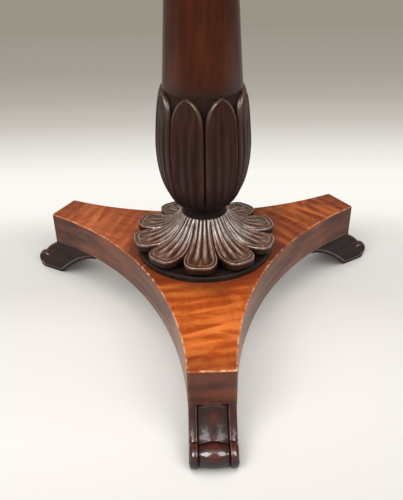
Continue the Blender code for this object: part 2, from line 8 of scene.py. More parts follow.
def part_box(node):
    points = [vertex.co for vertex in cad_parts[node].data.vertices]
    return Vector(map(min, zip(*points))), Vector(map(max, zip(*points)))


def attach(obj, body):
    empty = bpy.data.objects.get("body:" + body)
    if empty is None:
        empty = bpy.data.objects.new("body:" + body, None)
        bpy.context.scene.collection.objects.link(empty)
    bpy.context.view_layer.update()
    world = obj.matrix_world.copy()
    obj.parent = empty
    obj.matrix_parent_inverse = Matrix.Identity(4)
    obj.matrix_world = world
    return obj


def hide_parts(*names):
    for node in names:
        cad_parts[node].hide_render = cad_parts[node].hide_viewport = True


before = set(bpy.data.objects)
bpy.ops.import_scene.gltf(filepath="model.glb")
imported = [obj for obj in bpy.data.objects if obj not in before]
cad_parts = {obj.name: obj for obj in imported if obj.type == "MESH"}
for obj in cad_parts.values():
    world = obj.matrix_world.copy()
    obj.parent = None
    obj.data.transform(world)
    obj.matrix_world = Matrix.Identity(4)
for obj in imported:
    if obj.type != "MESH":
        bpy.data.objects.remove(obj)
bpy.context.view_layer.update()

# Platform core
# The ground of the base: a plain mahogany board sawn to three hollow sides, bored for the column's tenon
# and for the dowels of the feet. Veneer covers it all round, and only its oiled underside is bare.


def linear(hex_colour):
    """An sRGB hex colour as linear red, green, blue and alpha."""
    shares = [int(hex_colour[i : i + 2], 16) / 255 for i in (1, 3, 5)]
    return (*(c / 12.92 if c <= 0.04045 else ((c + 0.055) / 1.055) ** 2.4 for c in shares), 1.0)


def add_node(tree, kind, inputs, out=0, stops=(), **settings):
    """Adds a shader node and gives one output; inputs maps a socket to a value or to what feeds it."""
    node = tree.nodes.new("ShaderNode" + kind)
    for name, value in settings.items():
        setattr(node, name, value)
    for socket, value in inputs.items():
        if isinstance(value, bpy.types.NodeSocket):
            tree.links.new(value, node.inputs[socket])
        else:
            node.inputs[socket].default_value = value
    if stops:
        elements = node.color_ramp.elements
        while len(elements) < len(stops):
            elements.new(1.0)
        for (position, colour), element in zip(stops, elements):
            element.position = position
            element.color = colour
    return node.outputs[out]


# Sockets of a colour mix. A map range takes its value at 0, what it maps from at 1 and 2, and to at 3 and 4.
FACTOR, FIRST, SECOND, MIXED = 0, 6, 7, 2


def grained_wood(
    name, pale, deep, along, streak_mm, roughness,
    coat=0.0, coat_ior=1.5, specular=0.5, pore=0.3, waver=0.1, tool=14, ripple=None, ring=None, layers=(),
):
    """Wood cut with its grain along one axis of the piece.

    Streaks of two browns, streak_mm long and wide, run with the grain, and short dark pores lie among them.
    coat: weight of the clear polish, or (share, weight without it, weight with it).
    pore: how dark and how deep the pores are.
    waver: depth in mm of the unevenness that the tools left, over about tool mm.
    ripple: (pale, deep, spacing mm, lean in degrees, share) of a figure across the grain.
    ring: (colour, inner mm, outer mm, far mm, end mm) of a ring of colour round the axis, used for painted
    shade and for a painted sheen, that fades out from inner to outer, and comes back from far to end.
    layers: (share, colour, evenness, dulling) of what lies over the wood where the mesh has that share, such
    as old wax in hollows, rubbed edges, painted shade and painted highlights. An evenness below 0 leaves gaps
    between the patches.
    """
    material = bpy.data.materials.new(name)
    material.use_nodes = True
    tree = material.node_tree
    shader = tree.nodes["Principled BSDF"]
    place = add_node(tree, "TexCoord", {}, "Object")
    axes = add_node(tree, "SeparateXYZ", {0: place}).node.outputs
    order = {"X": "XYZ", "Y": "YZX", "Z": "ZXY"}[along]
    grain = add_node(tree, "CombineXYZ", {i: axes[axis] for i, axis in enumerate(order)})

    length, width = streak_mm
    stretch = (1000 / length, 1000 / width, 1000 / width)
    stretched = add_node(tree, "VectorMath", {0: grain, 1: stretch}, operation="MULTIPLY")
    streaks = add_node(tree, "TexNoise", {"Vector": stretched, "Scale": 1.0, "Detail": 5.0, "Roughness": 0.6})
    streak = add_node(tree, "MapRange", {0: streaks, 1: 0.34, 2: 0.66})
    colour = add_node(
        tree, "Mix", {FACTOR: streak, FIRST: linear(pale), SECOND: linear(deep)}, MIXED, data_type="RGBA"
    )

    # Slow patches of 45 mm, where the tree's growth and old sunlight change the tone
    patch_mm = 45
    patches = add_node(tree, "TexNoise", {"Vector": place, "Scale": 1000 / patch_mm, "Detail": 2.0})
    tone = add_node(tree, "MapRange", {0: patches, 1: 0.3, 2: 0.7, 3: 0.80, 4: 1.16})
    colour = add_node(tree, "VectorMath", {0: colour, 3: tone}, operation="SCALE")

    if ripple:
        band_pale, band_deep, spacing, lean, share = ripple
        # Bands of ripple run right across the grain for three times their spacing
        leaning = add_node(
            tree, "VectorRotate", {"Vector": grain, "Angle": math.radians(lean)}, rotation_type="Z_AXIS"
        )
        stretch = (1000 / spacing, 1000 / (spacing * 3), 1000 / spacing)
        drawn_out = add_node(tree, "VectorMath", {0: leaning, 1: stretch}, operation="MULTIPLY")
        bands = add_node(
            tree, "TexNoise",
            {"Vector": drawn_out, "Scale": 1.0, "Detail": 5.0, "Roughness": 0.6, "Distortion": 1.1},
        )
        # A wave texture's bands lie 0.314 / scale apart
        waves = add_node(
            tree, "TexWave",
            {"Vector": drawn_out, "Scale": 0.314, "Distortion": 6.0, "Detail": 3.0, "Detail Scale": 0.8},
            "Fac",
        )
        blend = add_node(tree, "Math", {0: waves, 1: 0.14, 2: bands}, operation="MULTIPLY_ADD")
        band = add_node(tree, "MapRange", {0: blend, 1: 0.42, 2: 0.76}, interpolation_type="SMOOTHSTEP")
        figure = add_node(
            tree, "Mix", {FACTOR: band, FIRST: linear(band_deep), SECOND: linear(band_pale)},
            MIXED, data_type="RGBA",
        )
        # The figure comes and goes in patches
        showing = add_node(
            tree, "MapRange", {0: patches, 1: 0.3, 2: 0.7, 3: share - 0.3, 4: min(share + 0.3, 1.0)}
        )
        colour = add_node(
            tree, "Mix", {FACTOR: showing, FIRST: colour, SECOND: figure}, MIXED, data_type="RGBA"
        )

    # Real pores are about 0.2 mm wide; they are drawn 1.5 mm wide and 14 mm long so that they show
    pore_length, pore_width = 14, 1.5
    stretch = (1000 / pore_length, 1000 / pore_width, 1000 / pore_width)
    fine = add_node(tree, "VectorMath", {0: grain, 1: stretch}, operation="MULTIPLY")
    dashes = add_node(tree, "TexNoise", {"Vector": fine, "Scale": 1.0, "Detail": 1.0})
    pores = add_node(tree, "MapRange", {0: dashes, 1: 0.56, 2: 0.70, 3: 1.0, 4: 1.0 - pore})
    colour = add_node(tree, "VectorMath", {0: colour, 3: pores}, operation="SCALE")

    if ring:
        ring_colour, inner, outer, far, end = ring
        flat = add_node(tree, "CombineXYZ", {0: axes[0], 1: axes[1]})
        away = add_node(tree, "VectorMath", {0: flat}, "Value", operation="LENGTH")
        # The ring's edge wanders 8 mm in and out
        uneven = add_node(tree, "MapRange", {0: patches, 1: 0.3, 2: 0.7, 3: -0.008, 4: 0.008})
        edge = add_node(tree, "Math", {0: away, 1: uneven}, operation="ADD")
        near = add_node(tree, "MapRange", {0: edge, 1: inner / 1000, 2: outer / 1000, 3: 0.8, 4: 0.0})
        tip = add_node(tree, "MapRange", {0: edge, 1: far / 1000, 2: end / 1000, 3: 0.0, 4: 0.5})
        cover = add_node(tree, "Math", {0: near, 1: tip}, operation="MAXIMUM")
        colour = add_node(
            tree, "Mix", {FACTOR: cover, FIRST: colour, SECOND: linear(ring_colour)}, MIXED, data_type="RGBA"
        )

    rough = add_node(tree, "MapRange", {0: streaks, 1: 0.3, 2: 0.7, 3: roughness - 0.05, 4: roughness + 0.07})

    # Wax, wear and painted light break up into flakes of 7 mm
    flake_mm = 7
    flakes = add_node(tree, "TexNoise", {"Vector": place, "Scale": 1000 / flake_mm, "Detail": 3.0})
    for share_name, layer_colour, evenness, dulling in layers:
        share = add_node(tree, "Attribute", {}, "Fac", attribute_name=share_name)
        patchy = add_node(tree, "MapRange", {0: flakes, 1: 0.36, 2: 0.60, 3: evenness, 4: 1.0})
        cover = add_node(tree, "Math", {0: share, 1: patchy}, operation="MULTIPLY")
        colour = add_node(
            tree, "Mix", {FACTOR: cover, FIRST: colour, SECOND: linear(layer_colour)}, MIXED, data_type="RGBA"
        )
        rough = add_node(tree, "Math", {0: cover, 1: dulling, 2: rough}, operation="MULTIPLY_ADD")

    tool_marks = add_node(tree, "TexNoise", {"Vector": place, "Scale": 1000 / tool, "Detail": 2.5})
    marks = add_node(tree, "Bump", {"Strength": 1.0, "Distance": waver / 1000, "Height": tool_marks})
    pore_depth = 0.0002
    bump = add_node(
        tree, "Bump", {"Strength": pore, "Distance": pore_depth, "Height": pores, "Normal": marks}
    )
    tree.links.new(colour, shader.inputs["Base Color"])
    tree.links.new(rough, shader.inputs["Roughness"])
    tree.links.new(bump, shader.inputs["Normal"])
    tree.links.new(bump, shader.inputs["Coat Normal"])
    shader.inputs["IOR"].default_value = 1.5
    shader.inputs["Specular IOR Level"].default_value = specular
    if isinstance(coat, tuple):
        coat_share, weight_without, weight_with = coat
        share = add_node(tree, "Attribute", {}, "Fac", attribute_name=coat_share)
        polish = add_node(tree, "MapRange", {0: share, 3: weight_without, 4: weight_with})
        tree.links.new(polish, shader.inputs["Coat Weight"])
    else:
        shader.inputs["Coat Weight"].default_value = coat
    shader.inputs["Coat IOR"].default_value = coat_ior
    shader.inputs["Coat Roughness"].default_value = 0.10
    return material


def dress(node, material):
    """Gives a carried-over solid its real finish."""
    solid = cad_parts[node].data
    solid.materials.clear()
    solid.materials.append(material)


# Sawn and oiled, never polished: dry brown, no gloss
oiled_mahogany = grained_wood("oiled mahogany", "#8A5E40", "#6A4429", "X", (90, 6), 0.62, pore=0.4)
dress("platform_core", oiled_mahogany)

# Foot dowels
# Turned beech pegs, two to each foot, glued into the platform and the foot. They show only in an open joint.

# Beech left bare: pale and dull, with short fine streaks
beech = grained_wood("planed beech", "#C9A273", "#B48A5B", "Z", (30, 2), 0.6, pore=0.25)
for arm in ("front", "left", "right"):
    for peg in (1, 2):
        dress(f"foot_dowel_{arm}_{peg}", beech)

# Scroll feet
# Three carved mahogany feet, each a hollow front that rolls over at the toe between two side strips, with an
# arch behind. They are glued and dowelled under the arm ends and are nearly black with old polish.

ARM_TURNS = {"front": math.radians(-90), "right": math.radians(30), "left": math.radians(150)}
ARM_REACH = 0.200
FOOT_TOP = 0.0457
FOOT_HALF = 0.0210
FOOT_TAIL = 0.141
FOOT_HEEL = 0.197
HEEL_RADIUS = 0.010
ARCH_RISE = 0.0357
ARCH_BEND = 1.6
ROLL_CENTRE = 0.2248
ROLL_RADIUS = 0.0115
ROLL_END = math.radians(124)
FRONT_LEAN = (math.radians(23), math.radians(48))
CHANNEL = 0.0028
# Shares of the half width, where the crowned panel and the groove beside it end
PANEL_EDGE, GROOVE_EDGE = 0.60, 0.65
# Heights where the hollow begins above the roll, and where the roll's rubbed part and its painted shade end
COVE_LEVEL, RUBBED_LEVEL, SHADED_LEVEL = ROLL_RADIUS * 1.85, ROLL_RADIUS * 2.05, ROLL_RADIUS * 1.8
# The rubbed patch in the hollow: middle and spread, across as a share of the half width and then in height
PATCH_ACROSS, PATCH_WIDTH, PATCH_LEVEL, PATCH_HEIGHT = 0.06, 0.22, 0.034, 0.005
# The ends of the roll are rounded off from this share of the half width, by up to 1 mm
ROLL_END_START, ROLL_END_ROUND = 0.86, 0.0010
ARCH_POINTS, HEEL_POINTS, ROLL_POINTS, COVE_POINTS = 20, 8, 40, 28


def smoothstep(low, high, value):
    t = min(max((value - low) / (high - low), 0.0), 1.0)
    return t * t * (3 - 2 * t)


def spread(first, last, count):
    return [first + (last - first) * i / (count - 1) for i in range(count)]


def finished_mesh(name, points, faces, crease=38.0, **shares):
    """A smooth mesh whose edges sharper than crease stay crisp; shares are values for each point."""
    mesh = bpy.data.meshes.new(name)
    mesh.from_pydata(points, [], faces)
    for share, values in shares.items():
        mesh.attributes.new(share, "FLOAT", "POINT").data.foreach_set("value", values)
    mesh.shade_smooth()
    mesh.set_sharp_from_angle(angle=math.radians(crease))
    return mesh


def skin_faces(rows, count, loop=False, first=0):
    """Faces of a closed skin over rows of points; a loop joins the last row to the first and has no ends."""
    faces = []
    for row in range(rows if loop else rows - 1):
        here = first + row * count
        below = first + (row + 1) % rows * count
        for i in range(count):
            after = (i + 1) % count
            faces.append((here + i, below + i, below + after, here + after))
    if not loop:
        last = first + (rows - 1) * count
        faces.append(tuple(range(first, first + count)))
        faces.append(tuple(reversed(range(last, last + count))))
    return faces


def fit_piece(name, mesh, material, node, turn=0.0):
    """Puts a finished mesh into the table in place of the plain solid of the same piece."""
    piece = bpy.data.objects.new(name, mesh)
    mesh.materials.append(material)
    bpy.context.collection.objects.link(piece)
    piece.rotation_euler.z = turn
    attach(piece, "root")
    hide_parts(node)
    return piece


def foot_outline():
    """Side view of a foot: (reach, height, outward reach, outward height, share of the channel)."""
    outline = [(FOOT_TAIL, FOOT_TOP, 0, 0, 0), (FOOT_TAIL, ARCH_RISE, 0, 0, 0)]
    run = FOOT_HEEL - FOOT_TAIL
    slope = math.atan(ARCH_RISE * ARCH_BEND / run)
    heel_cut = HEEL_RADIUS * math.tan(slope / 2)
    for t in spread(0.05, 1 - heel_cut * math.cos(slope) / run, ARCH_POINTS)[:-1]:
        outline.append((FOOT_TAIL + run * t, ARCH_RISE * (1 - t**ARCH_BEND), 0, 0, 0))
    for turn in spread(math.radians(270) - slope, math.radians(270), HEEL_POINTS):
        reach = FOOT_HEEL + heel_cut + HEEL_RADIUS * math.cos(turn)
        outline.append((reach, HEEL_RADIUS * (1 + math.sin(turn)), 0, 0, 0))
    for turn in spread(math.radians(-90), ROLL_END, ROLL_POINTS):
        out, rise = math.cos(turn), math.sin(turn)
        sunk = smoothstep(math.radians(-70), math.radians(-25), turn)
        outline.append((ROLL_CENTRE + ROLL_RADIUS * out, ROLL_RADIUS * (1 + rise), out, rise, sunk))
    join_reach, join_height, *rest = outline[-1]
    lean, full_lean = FRONT_LEAN
    for turn in spread(full_lean, lean, COVE_POINTS)[1:]:
        out, rise = math.cos(turn), math.sin(turn)
        reach = (math.cos(lean) - out) / (math.cos(lean) - math.cos(full_lean))
        drop = (rise - math.sin(lean)) / (math.sin(full_lean) - math.sin(lean))
        reach = ARM_REACH + (join_reach - ARM_REACH) * reach
        outline.append((reach, FOOT_TOP - (FOOT_TOP - join_height) * drop, out, rise, 1.0))
    return outline


def channel_depth(across):
    """Depth of the front at a share of the half width: crowned panel, groove, then a round-edged strip."""
    if across < PANEL_EDGE:
        return 0.04 + 0.96 * (across / PANEL_EDGE) ** 2
    if across < GROOVE_EDGE:
        return 1.00 + 0.40 * math.sin((across - PANEL_EDGE) / (GROOVE_EDGE - PANEL_EDGE) * math.pi)
    strip = (across - GROOVE_EDGE) / (1 - GROOVE_EDGE)
    return 1 - smoothstep(0.0, 0.12, strip) + 0.45 * max((strip - 0.25) / 0.75, 0.0) ** 2


foot_side = foot_outline()
half_stations = spread(0.0, 0.57, 9) + spread(PANEL_EDGE, GROOVE_EDGE, 6) + spread(0.66, 0.70, 4)
half_stations += spread(0.73, 0.94, 6) + spread(0.955, 1.0, 5)
stations = [-s for s in reversed(half_stations[1:])] + half_stations
foot_points = []
foot_recess, foot_worn, foot_dulled, foot_edge_glint = [], [], [], []
for station in stations:
    across = abs(station)
    for reach, height, out, rise, sunk in foot_side:
        fade = smoothstep(0.0, CHANNEL, FOOT_TOP - height)
        depth = CHANNEL * channel_depth(across) * sunk * fade
        if height < ROLL_RADIUS * 2:
            into_end = max((across - ROLL_END_START) / (1 - ROLL_END_START), 0.0)
            depth += ROLL_END_ROUND * into_end**2 * sunk
        foot_points.append((reach - out * depth, station * FOOT_HALF, height - rise * depth))
        # Painted shade darkens the grooves, which also hold old wax, and the shaded underside of the roll;
        # the hollow above has lost its shine
        shaded = smoothstep(0.75, 0.25, rise) if out > 0.0 and height < SHADED_LEVEL else 0.0
        in_cove = height > COVE_LEVEL and rise > 0.0
        recess = max(min((depth / CHANNEL - 0.98) * 3.0, 1.0), 0.85 * shaded)
        foot_recess.append(recess)
        foot_dulled.append(max(recess, 0.72 if in_cove else 0.0))
        # The crowns, the outer edges, the strips and one patch of the hollow are rubbed
        crest = 1 - smoothstep(0.0, 0.35, channel_depth(across))
        on_roll = 1.0 if height < RUBBED_LEVEL and out > -0.3 else 0.25
        aside, above = (station - PATCH_ACROSS) / PATCH_WIDTH, (height - PATCH_LEVEL) / PATCH_HEIGHT
        rubbed = 0.9 * math.exp(-(aside**2) - above**2)
        edge = 0.6 * smoothstep(0.94, 1.0, across)
        strip = 0.28 if in_cove and across > 0.70 else 0.0
        foot_worn.append(sunk * max(on_roll * (0.25 + 0.55 * crest), rubbed, edge, strip))
        # Both arrises of each strip are drawn pale where they pass the hollow: part wear, part a painted
        # reflection of the floor
        strip_arris = 0.66 < across < 0.69 or across > 0.98
        foot_edge_glint.append(0.6 * sunk * fade if strip_arris and in_cove else 0.0)
foot_faces = skin_faces(len(stations), len(foot_side))

# A thin raised line on each cheek follows the arch, heel and toe a little inside their edge
LINE_INSET = 0.0042
LINE_HALF = 0.0009
LINE_PROUD = 0.0007
LINE_SUNK = 0.0002
LINE_WORN = (0.0, 0.1, 0.25, 0.35, 0.25, 0.1, 0.0)
line_end = 2 + ARCH_POINTS + HEEL_POINTS + ROLL_POINTS // 3
route = [Vector((reach, height)) for reach, height, *rest in foot_side[2:line_end]]
for cheek in (-1, 1):
    first = len(foot_points)
    for before, here, after in zip(route, route[1:], route[2:]):
        along = after - before
        inward = Vector((-along.y, along.x)).normalized()
        for turn, worn in zip(spread(0.0, math.pi, len(LINE_WORN)), LINE_WORN):
            x, z = here + inward * (LINE_INSET + LINE_HALF * math.cos(turn))
            proud = (LINE_PROUD + LINE_SUNK) * math.sin(turn) - LINE_SUNK
            foot_points.append((x, cheek * (FOOT_HALF + proud), z))
            foot_worn.append(worn)
            for unmarked in (foot_recess, foot_dulled, foot_edge_glint):
                unmarked.append(0.0)
    bead = skin_faces(len(route) - 2, len(LINE_WORN), first=first)
    foot_faces += bead if cheek > 0 else [face[::-1] for face in bead]

# Carved mahogany under many coats of dark wax polish: almost black and very glossy, dull in the hollow and
# the grooves, red where it is rubbed, near black as painted shade in the grooves and under the roll, and pale
# along the strips' arrises, part wear and part painted reflection
foot_polish = grained_wood(
    "dark wax polished mahogany", "#2A140D", "#190B08", "X", (50, 4), 0.17,
    coat=("dulled", 1.0, 0.0), coat_ior=1.7, specular=0.40, pore=0.15, waver=0.35, tool=6,
    layers=(
        ("dulled", "#24110B", 1.0, 0.24),
        ("worn", "#64281C", 0.4, 0.0),
        # Painted shade: near black in the grooves and on the roll's underside
        ("recess", "#181010", 1.0, 0.2),
        # Pale strip arrises: part wear, part painted reflection
        ("edged", "#A89488", 0.5, 0.0),
    ),
)
# The flat cheeks keep only a thin dull wax
cheek_wax = grained_wood(
    "dull waxed cheek mahogany", "#2E1B15", "#1D100C", "X", (50, 4), 0.42, specular=0.2, pore=0.15, waver=0.3
)
for arm, turn in ARM_TURNS.items():
    foot_mesh = finished_mesh(
        f"carved_foot_{arm}", foot_points, foot_faces,
        recess=foot_recess, worn=foot_worn, dulled=foot_dulled, edged=foot_edge_glint,
    )
    fit_piece(f"carved_foot_{arm}", foot_mesh, foot_polish, f"scroll_foot_{arm}", turn)
    foot_mesh.materials.append(cheek_wax)
    for polygon in foot_mesh.polygons:
        if len(polygon.vertices) == len(foot_side):
            polygon.material_index = 1

# Side and end veneers of the platform
# Plain mahogany strips glued upright round the core: one along each hollow side and one on each arm's end.
# Their polish has gone dull and brown, and their lower edges are rubbed.

PLATFORM_BOTTOM = 0.046
PLATFORM_TOP = 0.084
VENEER = 0.0015
JOINT = 0.0003
END_HALF = 0.0213
WAIST = 0.079
SIXTY = math.radians(60)
SIDE_TOP = PLATFORM_TOP - VENEER - JOINT
FACED_REACH = ARM_REACH - VENEER - JOINT
CORNER_OUT = END_HALF * math.sin(SIXTY) + ARM_REACH * math.cos(SIXTY)
CORNER_ACROSS = ARM_REACH * math.sin(SIXTY) - END_HALF * math.cos(SIXTY)
SAG = CORNER_OUT - WAIST
SIDE_RADIUS = (CORNER_ACROSS**2 + SAG**2) / (2 * SAG)
SIDE_CENTRE = WAIST + SIDE_RADIUS
SIDE_STEPS = 60
SIDE_ROUND = 0.0005


def skin(name, rings, crease=38.0, loop=False, **shares):
    """A closed skin over rings of points from top to bottom."""
    points = [point for ring in rings for point in ring]
    return finished_mesh(name, points, skin_faces(len(rings), len(rings[0]), loop), crease, **shares)


def side_turn(depth, reach):
    """Half the angle of a hollow side, depth inside its face, up to an arm's reach."""
    return math.radians(30) + math.asin((reach - SIDE_CENTRE / 2) / (SIDE_RADIUS + depth))


def side_arc(bisector, depth, start, end, count):
    """Points along a hollow side, depth inside its face, between two angles from its middle."""
    points = []
    for turn in spread(start, end, count):
        out = SIDE_CENTRE - (SIDE_RADIUS + depth) * math.cos(turn)
        across = (SIDE_RADIUS + depth) * math.sin(turn)
        x = out * math.cos(bisector) - across * math.sin(bisector)
        y = out * math.sin(bisector) + across * math.cos(bisector)
        points.append((x, y))
    return points


# Plain veneer under worn spirit varnish: mid brown, satin, with the grain running level round the base,
# painted shade near the back arms' ends and a painted pale sheen by the front arm
side_veneer = grained_wood(
    "plain mahogany veneer", "#7A4029", "#482413", "Y", (90, 10), 0.35, specular=0.34, pore=0.12,
    layers=(("grimy", "#24120B", 0.7, 0.05), ("faded", "#B8876A", 0.8, 0.0), ("worn", "#7E5640", 0.2, 0.1)),
)
# Across a strip: (depth from its face, height, how far it is rubbed)
side_section = (
    (0.0, SIDE_TOP, 0.0),
    (VENEER, SIDE_TOP, 0.0),
    (VENEER, PLATFORM_BOTTOM, 0.3),
    (SIDE_ROUND, PLATFORM_BOTTOM, 1.0),
    (SIDE_ROUND * 0.3, PLATFORM_BOTTOM + SIDE_ROUND * 0.3, 1.0),
    (0.0, PLATFORM_BOTTOM + SIDE_ROUND, 1.0),
    (0.0, PLATFORM_BOTTOM + SIDE_ROUND * 3, 0.0),
)
for side, bisector in {"right": -30, "back": 90, "left": 210}.items():
    turn = math.radians(bisector)
    routes = []
    for depth, height, rubbed in side_section:
        half_turn = side_turn(depth, FACED_REACH)
        routes.append([(x, y, height) for x, y in side_arc(0.0, depth, -half_turn, half_turn, SIDE_STEPS)])
    rubs = [rubbed for depth, height, rubbed in side_section] * SIDE_STEPS
    # Painted shade darkens the sides by the ends of the two arms behind, and a painted pale sheen lies on the
    # sides of the front arm
    grimy, faded = [], []
    for x, y, height in routes[0]:
        reach = math.hypot(x, y)
        back = x * math.sin(turn) + y * math.cos(turn)
        shade_share = 0.5 * smoothstep(0.140, 0.198, reach) * smoothstep(-0.03, 0.03, back)
        sheen_share = 0.5 * smoothstep(0.100, 0.165, reach) * smoothstep(-0.04, -0.11, back)
        grimy += [shade_share] * len(side_section)
        faded += [sheen_share] * len(side_section)
    rings = [list(station) for station in zip(*routes)]
    mesh = skin(f"side_veneer_{side}", rings, worn=rubs, grimy=grimy, faded=faded)
    fit_piece(f"side_veneer_{side}", mesh, side_veneer, f"platform_side_veneer_{side}", turn)

# The same veneer on the arms' ends, kept darker than the sides as painted shade, with rubbed corners
end_veneer = grained_wood(
    "plain mahogany end veneer", "#66321E", "#422012", "Y", (40, 9), 0.36, specular=0.4, pore=0.15,
    layers=(("worn", "#6E4230", 0.2, 0.1),),
)
END_ROUND = 0.0014
END_LEVELS = (SIDE_TOP, PLATFORM_BOTTOM + 0.002, PLATFORM_BOTTOM)
# Round an end strip from a back corner to its middle: (setback from its face, way from the corner, rubbed)
end_half = [(VENEER, 0.0, 0.2)]
for turn in spread(0.0, math.radians(90), 6):
    end_half.append((END_ROUND * (1 - math.sin(turn)), END_ROUND * (1 - math.cos(turn)), 0.8))
end_half.append((0.0, END_ROUND * 2, 0.0))
end_outline = [(ARM_REACH - setback, corner - END_HALF, rubbed) for setback, corner, rubbed in end_half]
end_outline += [(x, -y, rubbed) for x, y, rubbed in reversed(end_outline)]
for arm, turn in ARM_TURNS.items():
    rings, rubs = [], []
    for level in END_LEVELS:
        lower_edge = 0.5 if level == PLATFORM_BOTTOM else 0.0
        rings.append([(x, y, level) for x, y, rubbed in end_outline])
        rubs += [max(rubbed, lower_edge) for x, y, rubbed in end_outline]
    mesh = skin(f"end_veneer_{arm}", rings, worn=rubs)
    fit_piece(f"end_veneer_{arm}", mesh, end_veneer, f"platform_end_veneer_{arm}", turn)

# Top veneers of the platform
# Three leaves of fiddleback mahogany, one to each arm, mitred together under the collar. Rubbing and old
# knocks have bared pale wood along their outer arrises, and painted shade darkens the corner by the disc.

TENON_BORE = 0.0193
ARRIS = 0.0007
CORNER_ROUND = 0.0028
# How far in from the arris a leaf is rubbed, and the share that is left there
RUB_REACHES = ((0.0003, 0.6), (0.0010, 0.0))
RIPPLE_SPACING, RIPPLE_LEAN = 15, -9
# Painted shade darkens the leaves at the edge of the disc, and they grow darker again towards the arms' ends
DISC_SHADE_TONE, DARK_FROM, TIP_DARK_FROM, TIP_DARK_FULL = "#76301A", 79, 166, 188

# Rippled mahogany, french polished, with painted light: glowing orange bands across the arm that faces the
# light, and redder, quieter ones painted as shade on the two arms that lie turned from it; the bared arrises
# are toned the same way.
# (pale, deep, band pale, band deep, share of the bands, bared arris, reach in mm of the painted shade by the
# disc)
LIT_AND_SHADED_LEAF_TONES = {
    "front": ("#EA702C", "#C04E18", "#FF8E3E", "#B04A16", 0.74, "#E8B488", 108),
    "left": ("#DA703A", "#A64A22", "#E68248", "#A84A20", 0.55, "#D49A74", 90),
    "right": ("#D0642E", "#7E3010", "#E87C34", "#7E2E0C", 0.68, "#C88C66", 114),
}


def outer_arris(edge):
    upper = all(v.co.z > PLATFORM_TOP - JOINT for v in edge.verts)
    outside = all(math.hypot(v.co.x, v.co.y) > WAIST - JOINT for v in edge.verts)
    return upper and outside and max(v.co.x for v in edge.verts) > WAIST / 2 + ARRIS


def veneer_leaf(name, outline):
    """A leaf of veneer cut to an outline, with its outer arrises rounded and rubbed."""
    shape = bmesh.new()
    worn = shape.verts.layers.float.new("worn")
    face = shape.faces.new([shape.verts.new((x, y, PLATFORM_TOP)) for x, y in outline])
    face.normal_update()
    if face.normal.z < 0:
        face.normal_flip()
    for item in bmesh.ops.extrude_face_region(shape, geom=[face])["geom"]:
        if isinstance(item, bmesh.types.BMVert):
            item.co.z = PLATFORM_TOP - VENEER
    bmesh.ops.recalc_face_normals(shape, faces=shape.faces)
    edges = [edge for edge in shape.edges if outer_arris(edge)]
    rounding = bmesh.ops.bevel(shape, geom=edges, offset=ARRIS, segments=3, profile=0.5, affect="EDGES")
    for rounded in rounding["faces"]:
        for vertex in rounded.verts:
            vertex[worn] = 1.0
    for reach, left in RUB_REACHES:
        flat = max(shape.faces, key=lambda f: f.calc_area() * (f.normal.z > 0.9))
        bmesh.ops.inset_individual(shape, faces=[flat], thickness=reach, use_even_offset=True)
        for vertex in flat.verts:
            vertex[worn] = left
    shape.verts.index_update()
    points = [tuple(vertex.co) for vertex in shape.verts]
    rubs = [vertex[worn] for vertex in shape.verts]
    # The rounding leaves the faces in no fixed order, so they are sorted
    faces = []
    for face in shape.faces:
        corners = [vertex.index for vertex in face.verts]
        lowest = corners.index(min(corners))
        faces.append(tuple(corners[lowest:] + corners[:lowest]))
    shape.free()
    return finished_mesh(name, points, sorted(faces), crease=40.0, worn=rubs)


# From the mitre along a hollow side, across the arm's end, back along the other side and round the bore
mitre = math.asin(JOINT / 2 / SIDE_RADIUS)
bore = SIXTY - math.asin(JOINT / 2 / TENON_BORE)
leaf = side_arc(-SIXTY, 0.0, mitre, side_turn(0.0, ARM_REACH - CORNER_ROUND), 30)
start = Vector(leaf[-1])
corner = Vector((ARM_REACH, -END_HALF))
stop = Vector((ARM_REACH, CORNER_ROUND - END_HALF))
for t in spread(0.0, 1.0, 8)[1:]:
    leaf.append(tuple(start * (1 - t) ** 2 + corner * 2 * t * (1 - t) + stop * t**2))
leaf += [(x, -y) for x, y in reversed(leaf)]
leaf += [(TENON_BORE * math.cos(t), TENON_BORE * math.sin(t)) for t in spread(bore, -bore, 24)]
for arm, turn in ARM_TURNS.items():
    pale, deep, band_pale, band_deep, share, bared, dark_reach = LIT_AND_SHADED_LEAF_TONES[arm]
    fiddleback = grained_wood(
        f"fiddleback veneer {arm}", pale, deep, "X", (45, 4), 0.38, specular=0.4, pore=0.06,
        ripple=(band_pale, band_deep, RIPPLE_SPACING, RIPPLE_LEAN, share),
        ring=(DISC_SHADE_TONE, DARK_FROM, dark_reach, TIP_DARK_FROM, TIP_DARK_FULL),
        layers=(("worn", bared, -0.5, 0.1),),
    )
    mesh = veneer_leaf(f"top_veneer_{arm}", leaf)
    fit_piece(f"top_veneer_{arm}", mesh, fiddleback, f"platform_top_veneer_{arm}", turn)

# Collar disc
# A thin turned disc stained black, which the petal collar stands on. It is glued down round the tenon.

DISC_BOTTOM = 0.0843
DISC_TOP = 0.0903
DISC_RADIUS = 0.0735
DISC_ROUND = 0.002


def turned_rings(profile, count):
    """Rings of count points round the axis, one for each (radius, height) of a profile."""
    turns = [math.tau * i / count for i in range(count)]
    return [[(r * math.cos(turn), r * math.sin(turn), z) for turn in turns] for r, z in profile]


disc_profile = [(TENON_BORE, DISC_TOP)]
for turn in spread(math.radians(90), 0.0, 6):
    r = DISC_RADIUS - DISC_ROUND * (1 - math.cos(turn))
    disc_profile.append((r, DISC_TOP - DISC_ROUND * (1 - math.sin(turn))))
disc_profile += [(DISC_RADIUS, DISC_BOTTOM), (TENON_BORE, DISC_BOTTOM)]
# Ebonised wood: black stain under thin polish, a dull brown-black with a soft edge light
ebonised = grained_wood("ebonised wood", "#2E231E", "#1C1411", "X", (40, 3), 0.45, specular=0.24, pore=0.3)
disc_mesh = skin("black_disc", turned_rings(disc_profile, 144), loop=True)
fit_piece("black_disc", disc_mesh, ebonised, "collar_disc")
